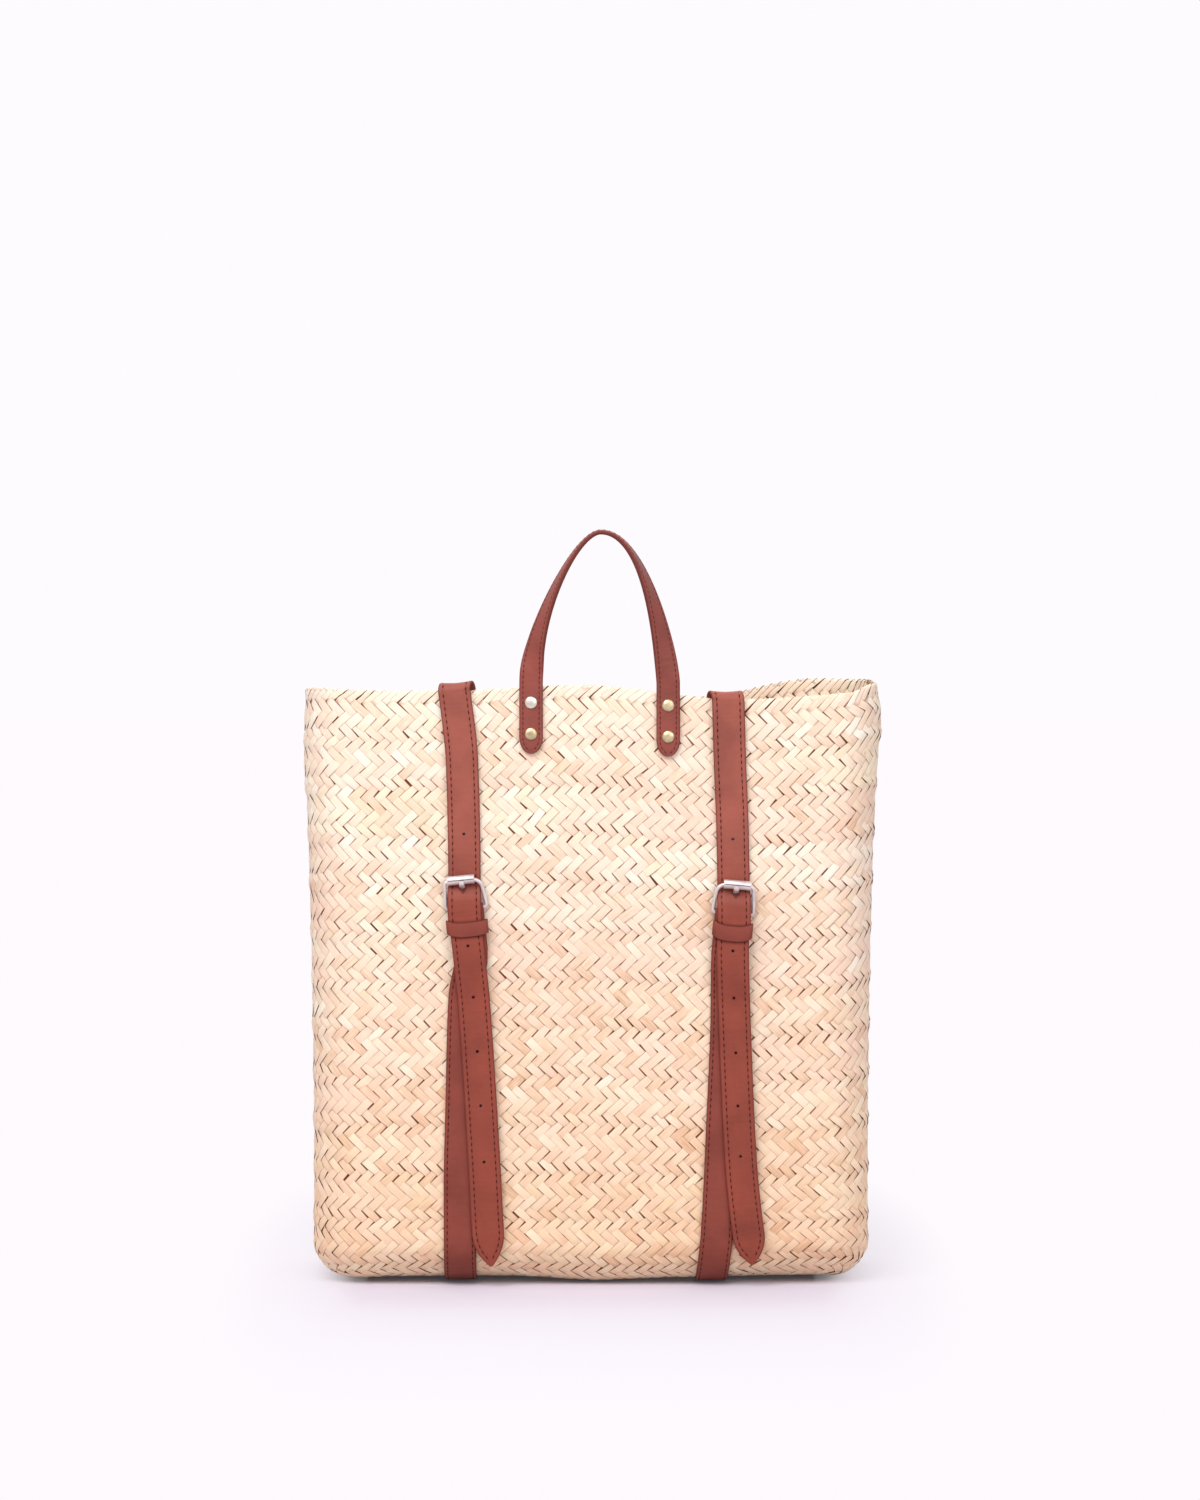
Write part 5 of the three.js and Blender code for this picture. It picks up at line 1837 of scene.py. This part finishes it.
    def keeper(self) -> Piece:
        """The leather band that holds the tail down.

        Returns:
            The piece.
        """
        plan = self.plan
        turns = rounded_section(plan.keeper_width, self.keeper_depth, self.keeper_corner, 6)
        outline = []
        for begin, end in zip(turns, np.roll(turns, -1, axis=0)):
            steps = math.ceil(float(np.linalg.norm(end - begin)) / 2.0)
            outline += [begin + (end - begin) * step / steps for step in range(steps)]
        outline = np.array(outline)
        along = heading_round(outline)
        outward = np.stack((along[:, 1], -along[:, 0]), axis=-1)
        path = closed(np.array([self.local(x + plan.keeper_shift, self.keeper_out + y, plan.keeper_level + self.sag(x))
                                for x, y in outline]))
        out = closed(outward[:, :1] * self.across + outward[:, 1:] * self.out)
        half = plan.keeper_height / 2.0
        section = rounded_section(2.0 * half, self.keeper_thick, self.keeper_edge, 3)
        crown = self.keeper_crown * (1.0 - (section[:, 0] / half) ** 2) * (section[:, 1] > 0)
        section = section + np.stack((0.0 * crown, crown), -1)
        piece = swept_loop(f"{self.side}_strap_keeper", path, self.up, out, section)
        put_attribute(piece, "edge", 0.8 * smooth((self.from_keeper(piece) - half + 0.8) / 0.8))
        smooth_edges(piece, 62.0)
        return piece

    def shade_by_keeper(self, strap: Piece) -> None:
        """Paints shade on the strap where it goes into and out of the keeper.

        Args:
            strap: the upper strap with its tail.
        """
        marks = strap.data.attributes["edge"].data
        edge = np.empty(len(marks), np.float32)
        marks.foreach_get("value", edge)
        beyond = self.from_keeper(strap) - self.plan.keeper_height / 2.0
        marks.foreach_set("value", np.maximum(edge, 0.9 * np.exp(-((beyond - 0.3) / 1.1) ** 2)).astype(np.float32))

    def buckle_frame(self) -> Piece:
        """The bent wire frame, closed at its bar.

        Returns:
            The piece.
        """
        half = self.frame_width / 2.0
        tilt = math.asin(self.frame_rise / self.frame_reach)
        left, right = self.outer_corner, self.inner_corner
        if self.plan.side is Side.RIGHT:
            left, right = right, left
        top, low = self.frame_reach, self.bar_corner
        corners = ((half, 0.0, low), (half, top, right), (-half, top, left), (-half, 0.0, low))
        turns = ((1, 1, -90), (1, -1, 0), (-1, -1, 90), (-1, 1, 180))
        flat = []
        for (x, y, radius), (inward_x, inward_y, start) in zip(corners, turns):
            for step in range(9):
                angle = math.radians(start + 90.0 * step / 8)
                flat.append((x - inward_x * radius + radius * math.cos(angle),
                             y + inward_y * radius + radius * math.sin(angle)))
        flat = np.array(flat)
        up = flat[:, 1] / top
        outer = flat[:, 0] * (-1.0 if self.plan.side is Side.LEFT else 1.0) > 0.0
        width = self.frame_flare - self.frame_taper * up - self.frame_taper * up * outer
        flat[:, 0] = flat[:, 0] * width + self.plan.frame_shift * (1.0 - up)
        path = np.array([self.local(x, self.bar_out + y * math.sin(tilt), y * math.cos(tilt)) for x, y in flat])
        facing = unit(self.out * math.cos(tilt) - self.up * math.sin(tilt))
        side = closed(np.cross(heading_round(path), facing))
        path = closed(path)
        turn = np.linspace(0.0, 2.0 * math.pi, 17)[:-1]
        ring = np.array([(1.08 * self.wire * math.cos(a), self.wire * math.sin(a)) for a in turn])
        piece = swept_loop(f"{self.side}_buckle_wire", path, side, facing, ring)
        smooth_edges(piece, 80.0)
        return piece

    def buckle_roller(self) -> Piece:
        """The rolled sheet tube on the frame's outer bar, its seam to the front.

        Returns:
            The piece.
        """
        outer, bore = self.roller_radius, self.roller_bore
        gap = self.roller_seam / outer / 2.0
        turn = np.linspace(gap, 2.0 * math.pi - gap, 41)
        ring = [(outer, a) for a in turn] + [(bore, a) for a in turn[::-1]]
        section = np.array([(r * math.sin(a), r * math.cos(a)) for r, a in ring])
        middle = self.local(self.plan.roller_shift, self.roller_out, self.roller_up)
        half = self.roller_length / 2.0
        steps = ((-half, 0.93), (-half + 0.3, 1.0), (0.0, 1.0), (half - 0.3, 1.0), (half, 0.93))
        path = np.array([middle + self.across * x for x, _ in steps])
        skin = np.hypot(section[:, :1], section[:, 1:]) > (outer + bore) / 2.0
        sections = np.stack([np.where(skin, section * scale, section) for _, scale in steps])
        piece = swept_loop(f"{self.side}_buckle_tube", path, self.up, self.out, sections)
        smooth_edges(piece, 40.0)
        return piece

    def buckle_prong(self) -> Piece:
        """The prong: an eye round the bar and a shank through the strap to the roller.

        Returns:
            The piece.
        """
        knots = np.array(self.prong_line)
        far = lengths_along(knots)
        lines = [Line(zip(far, knots[:, k])) for k in range(2)]
        at = np.linspace(0.0, far[-1], 34)
        flat = np.array([[line(a) for line in lines] for a in at])
        along = unit(np.gradient(flat, axis=0))
        path = np.array([self.local(0.0, out, up) for out, up in flat])
        facing = along[:, 1:] * self.out - along[:, :1] * self.up
        taper = 1.0 - 0.3 * smooth((at / far[-1] - 0.92) / 0.08)
        sections = rounded_section(*self.prong_section, 3)[None] * taper[:, None, None]
        shank = swept_loop(f"{self.side}_buckle_tongue", path, self.across, facing, sections)
        angles = np.linspace(0.0, 2.0 * math.pi, 25)
        spoke = np.cos(angles)[:, None] * self.out + np.sin(angles)[:, None] * self.up
        ring = self.local(0.0, self.bar_out, 0.0) + spoke * self.eye_radius
        eye = swept_loop("prong_eye", ring, self.across, spoke, rounded_section(*self.eye_section, 3))
        join_up((shank, eye))
        smooth_edges(shank, 60.0)
        return shank

    def build(self, finishes: Finishes) -> list[Piece]:
        """Builds the strap and its buckle, and sets each piece but the upper strap and its thread on its body.

        Args:
            finishes: the shared materials.

        Returns:
            The pieces.
        """
        name, hinge = self.side, np.array(self.plan.tail_axis)
        start, end = ((hinge + self.up * step) * MM for step in (6.0, -10.0))
        ribbon, below = self.upper_ribbon(), self.lower_ribbon()
        strap = ribbon.leather(f"{name}_shoulder_strap")
        self.shade_by_keeper(strap)
        strap_thread = ribbon.stitched(f"{name}_shoulder_thread", self.stitch_pitch, 0.0, ribbon.length[-1])
        lower = below.leather(f"{name}_lower_leather")
        lower_thread = below.stitched(f"{name}_lower_thread", self.stitch_pitch, self.lower_stitch_from,
                                      below.length[-1] - self.lower_unstitched)
        keeper, wire, tube, tongue = self.keeper(), self.buckle_frame(), self.buckle_roller(), self.buckle_prong()
        for piece, material, slot in (
                (strap, finishes.strap, "tan_leather"), (strap_thread, finishes.thread, "tan_leather"),
                (lower, finishes.lower, "tan_leather"), (lower_thread, finishes.thread, "tan_leather"),
                (keeper, finishes.lower, "tan_leather"), (wire, finishes.nickel, "nickel"),
                (tube, finishes.nickel, "nickel"), (tongue, finishes.nickel, "nickel")):
            dress(piece, material, slot)
        self.punch(strap, finishes.raw, finishes.lower)
        for piece in (strap, strap_thread):
            tuple(start)
            tuple(end)
            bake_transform(piece)
        for piece, body in ((lower, "bag"), (lower_thread, "bag"), (keeper, "bag"), (wire, f"{name}_buckle_frame"),
                            (tube, f"{name}_buckle_roller"), (tongue, f"{name}_buckle_prong")):
            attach(piece, body)
        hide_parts(f"{name}_upper_strap", f"{name}_strap_tail")
        for piece, node in ((lower, "lower_strap"), (keeper, "keeper"), (wire, "buckle_frame"), (tube, "buckle_roller"),
                            (tongue, "buckle_prong")):
            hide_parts(f"{name}_{node}")
        return [strap, strap_thread, lower, lower_thread, keeper, wire, tube, tongue]


@dataclass(frozen=True)
class HandleEnd:
    """One end of the carry handle: place, tip, how late its leg turns, and the arch's pull at foot and top."""

    side: Side
    x: float
    tip: float
    ease: float
    leg_pull: float
    top_pull: float


@dataclass
class CarryHandle:
    """The carry handle: one stitched strip whose ends are riveted to the front wall."""

    form: BasketForm
    half: float = 8.0
    thick: float = 2.8
    seam: float = 2.5
    stitch_pitch: float = 3.5
    left: HandleEnd = HandleEnd(Side.LEFT, -40.5, 364.7, 0.57, 40.8, -16.9)
    right: HandleEnd = HandleEnd(Side.RIGHT, 52.4, 362.7, 1.0, 9.0, 33.5)
    tip_length: float = 11.0
    hinge_y: float = -71.05
    hinge_z: float = 412.573
    top_x: float = 6.8
    rise: float = 102.5
    off_wall: float = 2.0
    rivets: Levels = (("lower", 13.6), ("upper", 34.8))
    rivet_out: float = 3.5
    rivet_stack: float = 7.4

    def tab(self, end: HandleEnd) -> list[Station]:
        """Stations of one riveted end, from its tip up to the rim.

        Args:
            end: the handle's end.

        Returns:
            The stations.
        """
        made, tip = [], end.tip
        round_end = tip + self.tip_length * (1.0 - np.cos(np.linspace(0.06, math.pi / 2.0, 12)))
        for z in np.concatenate((round_end, np.arange(tip + self.tip_length + 2.5, self.hinge_z - 1.0, 2.5))):
            share = min(1.0, (z - tip) / self.tip_length)
            half = self.half * math.sqrt(max(0.0, 1.0 - (1.0 - share) ** 2))
            place = self.form.off_wall(end.x, z, self.off_wall)
            made.append((place, self.form.wall_normal(end.x, z), half, self.thick))
        return made

    def leg(self, end: HandleEnd) -> list[Station]:
        """Stations of one half of the arch, from the rim up to the top.

        Args:
            end: the handle's end.

        Returns:
            The stations.
        """
        top = self.hinge_z + self.rise
        sign = 1.0 if end.side is Side.LEFT else -1.0
        knots = np.array(((end.x, self.hinge_z), (end.x, self.hinge_z + end.leg_pull),
                          (self.top_x + end.top_pull, top), (self.top_x, top)))
        made = []
        for t in np.linspace(0.0, 1.0, 44):
            r = 1.0 - t
            place = knots.T @ np.array((r ** 3, 3 * r * r * t, 3 * r * t * t, t ** 3))
            slopes = np.array((-3 * r * r, 3 * r * r - 6 * r * t, 6 * r * t - 3 * t * t, 3 * t * t))
            travel = unit(knots.T @ slopes) * sign
            twist = max(0.0, t - 0.08) / 0.92
            turn = math.pi / 2.0 * math.sin(math.pi / 2.0 * twist ** end.ease)
            face = np.array((-travel[1] * math.sin(turn), -math.cos(turn), travel[0] * math.sin(turn)))
            made.append((np.array((place[0], self.hinge_y, place[1])), face, self.half, self.thick))
        return made

    def ribbon(self) -> Ribbon:
        """The whole strip, from the left tip over the arch to the right tip."""
        left, right = (self.tab(end) + self.leg(end) for end in (self.left, self.right))
        return Ribbon.through(left + right[-2::-1], self.seam)

    def build(self, finishes: Finishes) -> list[Piece]:
        """Builds the handle in place of the frame's handle parts.

        Args:
            finishes: the shared materials.

        Returns:
            The pieces.
        """
        ribbon = self.ribbon()
        strip = ribbon.leather("carry_handle")
        thread = ribbon.stitched("carry_handle_thread", self.stitch_pitch, 0.0, ribbon.length[-1])
        dress(strip, finishes.handle, "tan_leather")
        dress(thread, finishes.handle_thread, "tan_leather")
        for piece in (strip, thread):
            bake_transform(piece)
        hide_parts("handle_arch", "handle_left_tab", "handle_right_tab")
        return [strip, thread]


class RivetHead(Enum):
    """Shape of a rivet's outer head."""

    DOMED = "domed"
    FLAT = "flat"


@dataclass
class Rivet:
    """One two-part rivet through the leather and the plait."""

    name: str
    seat: Array
    axis: Array
    stack: float
    head: RivetHead = RivetHead.FLAT
    radius: float = 4.3
    post: float = 1.5
    steps: int = 36

    def outline(self) -> list[tuple[float, float]]:
        """Radius and height of the turned outline, from the head's top to the inner cap's.

        Returns:
            The outline's corners.
        """
        r = self.radius
        if self.head is RivetHead.DOMED:
            head = [(0.0, 1.9), (0.3 * r, 1.85), (0.55 * r, 1.68), (0.76 * r, 1.36), (0.92 * r, 0.9), (r, 0.42),
                    (0.99 * r, 0.12), (0.95 * r, 0.0)]
        else:
            head = [(0.0, 0.9), (0.8 * r, 0.86), (0.96 * r, 0.62), (r, 0.3), (0.96 * r, 0.0)]
        foot = -self.stack
        cap = [(0.95 * r, foot), (r, foot - 0.35), (0.9 * r, foot - 0.95), (0.7 * r, foot - 1.4),
               (0.4 * r, foot - 1.75), (0.0, foot - 1.9)]
        return head + [(self.post, 0.0), (self.post, foot)] + cap

    def build(self, material: Material) -> Piece:
        """Turns the rivet and sets it in the bag.

        Args:
            material: the rivet's finish.

        Returns:
            The piece.
        """
        axis = unit(self.axis)
        skew = (0.31, 0.2, 0.93) if abs(axis[2]) < 0.9 else (1.0, 0.0, 0.0)
        side = unit(np.cross(axis, np.array(skew)))
        over = np.cross(axis, side)
        angles = np.linspace(0.0, 2.0 * math.pi, self.steps + 1)
        spoke = np.cos(angles)[:, None] * side + np.sin(angles)[:, None] * over
        points = np.array([self.seat + axis * height + spoke * radius for radius, height in self.outline()])
        piece = laid_grid(f"{self.name}_metal", points)
        smooth_edges(piece, 46.0)
        dress(piece, material, "antique_brass")
        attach(piece, "bag")
        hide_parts(f"{self.name}_stud", f"{self.name}_cap")
        return piece


def rivets(form: BasketForm, handle: CarryHandle, straps: Sequence[ShoulderStrap], finishes: Finishes) -> list[Piece]:
    """All the rivets: on the handle's ends, inside the rim and under the base.

    Args:
        form: the basket's form.
        handle: the carry handle.
        straps: the two shoulder straps.
        finishes: the shared materials.

    Returns:
        The pieces.
    """
    made = []
    for end in (handle.left, handle.right):
        for level, rise in handle.rivets:
            x, z = end.x, end.tip + rise
            seat, out = form.off_wall(x, z, handle.rivet_out), form.wall_normal(x, z)
            rivet = Rivet(f"handle_{end.side.value}_{level}_rivet", seat, out, handle.rivet_stack, RivetHead.DOMED)
            # The upper rivet on the left takes the paler brass as a painted highlight.
            worn = end.side is Side.LEFT and level == "upper"
            made.append(rivet.build(finishes.worn_brass if worn else finishes.brass))
    for strap in straps:
        x, rim, foot_x = strap.upper_x(form.rim), strap.rim_top(), strap.plan.lower_line[0][1]
        for level, drop in strap.rim_rivets:
            seat, out = form.off_wall(x, rim - drop, strap.rim_rivet_out), form.wall_normal(x, rim - drop)
            rivet = Rivet(f"{strap.side}_rim_{level}_rivet", seat, out, strap.rim_rivet_stack)
            made.append(rivet.build(finishes.brass))
        for level, y in strap.base_rivets:
            seat = np.array((foot_x, y + form.set_back, strap.thick / 2.0))
            rivet = Rivet(f"{strap.side}_base_{level}_rivet", seat, DOWN, strap.base_rivet_stack)
            made.append(rivet.build(finishes.brass))
    return made


# Stage


@dataclass(frozen=True)
class Studio:
    """Plain pale floor, soft light and the camera at the photograph's angle, in metres."""

    distance: float = 4.5
    camera_height: float = 0.6786
    aim: tuple[float, float, float] = (0.0062, -0.072, 0.3673)
    frame_height: float = 1.0171
    floor_size: float = 12.0
    floor_fades: Pairs = ((0.014, 0.035), (0.024, 0.11), (0.06, 0.17), (0.11, 0.4), (0.16, 0.55), (0.25, 0.66),
                          (0.35, 0.77), (0.55, 1.0))
    sensor: float = 36.0

    @staticmethod
    def shown(t: NodeTree) -> Socket:
        """1 for rays from the camera, mirrored or seen through, and 0 for rays that light the bag.

        Args:
            t: the nodes to add to.

        Returns:
            The mask.
        """
        path = t.add("ShaderNodeLightPath")
        seen = t.math("MAXIMUM", path.outputs["Is Camera Ray"], path.outputs["Is Glossy Ray"])
        return t.math("MAXIMUM", seen, path.outputs["Is Transmission Ray"])

    def floor(self) -> None:
        """A floor that keeps the bag's shadow and fades to white away from it."""
        deselect_all()
        bpy.ops.mesh.primitive_plane_add(size=self.floor_size, location=(0.0, 0.0, 0.0))
        plane = bpy.context.object
        plane.name = "studio_floor"
        made, t, shader = new_material("studio_floor")
        t.tree.nodes.remove(shader)
        place = t.place()
        beside, before = (t.math("MAXIMUM", t.math("SUBTRACT", t.math("ABSOLUTE", t.part(place, axis)), reach), 0.0)
                          for axis, reach in ((0, 0.15), (1, 0.06)))
        beside = t.math("MULTIPLY", beside, 5.2)
        away = t.math("SQRT", t.math("ADD", t.math("MULTIPLY", beside, beside), t.math("MULTIPLY", before, before)))
        seen = self.shown(t)
        tint = t.mix(seen, srgb(218, 210, 216), srgb(220, 214, 230))
        matt = t.add("ShaderNodeBsdfDiffuse", {"Color": tint}).outputs[0]
        glow = t.add("ShaderNodeEmission", {"Color": srgb(254, 250, 254), "Strength": 1.0}).outputs[0]
        fades = t.ramp(away, [(at, (fade, fade, fade, 1.0)) for at, fade in self.floor_fades])
        both = t.add("ShaderNodeMixShader", {0: t.math("MULTIPLY", fades, seen), 1: matt, 2: glow}).outputs[0]
        t.put(t.tree.nodes["Material Output"], {0: both})
        plane.data.materials.append(made)

    def light(self) -> None:
        """Soft light from above, in front and behind, strongest from the front left."""
        world = bpy.data.worlds.new("studio")
        bpy.context.scene.world = world
        world.use_nodes = True
        t = NodeTree(world.node_tree)
        strength = t.span(self.shown(t), 0.0, 1.0, 0.42, 1.0)
        t.put(t.tree.nodes["Background"], {"Color": srgb(254, 251, 255), "Strength": strength})
        lamps = [
            ("key", (-0.75, -1.5, 2.1), 1.6, 46.0, (1.0, 0.985, 0.965)),
            ("fill", (1.6, -2.2, 1.6), 2.2, 28.0, (0.98, 0.98, 1.0)),
            ("top", (0.0, 1.1, 2.2), 2.0, 22.0, (1.0, 0.98, 1.0)),
        ]
        for name, place, size, power, colour in lamps:
            bpy.ops.object.light_add(type="AREA", location=place)
            lamp = bpy.context.object
            lamp.name = name
            lamp.data.size, lamp.data.energy, lamp.data.color = size, power, colour
            lamp.rotation_euler = (Vector((0.0, 0.0, 0.22)) - Vector(place)).to_track_quat("-Z", "Y").to_euler()

    def camera(self) -> None:
        """A long lens from a little above the bag, aimed at the middle of the picture."""
        place = Vector((self.aim[0], self.aim[1] - self.distance, self.camera_height))
        look = Vector(self.aim) - place
        deselect_all()
        bpy.ops.object.camera_add(location=place, rotation=look.to_track_quat("-Z", "Y").to_euler())
        camera = bpy.context.object
        camera.name = "camera"
        camera.data.sensor_fit = "VERTICAL"
        camera.data.sensor_height = self.sensor
        camera.data.lens = self.sensor * look.length / self.frame_height
        camera.data.clip_end = 50.0
        bpy.context.scene.camera = camera

    def set_up(self) -> None:
        """Sets up the whole stage."""
        bpy.context.scene.view_settings.view_transform = "Standard"
        self.camera()
        self.floor()
        self.light()


def main() -> None:
    """Builds the stage, then each part of the bag in order, and reports each piece."""
    Studio().set_up()
    form = BasketForm()
    finishes = Finishes.mixed()
    handle = CarryHandle(form)
    straps = [ShoulderStrap(form, plan) for plan in (LEFT_PLAN, RIGHT_PLAN)]
    made = Plait(form).build(PalmLeaf(), PlaitCore())
    for strap in straps:
        made += strap.build(finishes)
    made += handle.build(finishes)
    made += rivets(form, handle, straps, finishes)
    for piece in made:
        log.info("%s: %d faces", piece.name, len(piece.data.polygons))


if __name__ == "__main__":
    main()
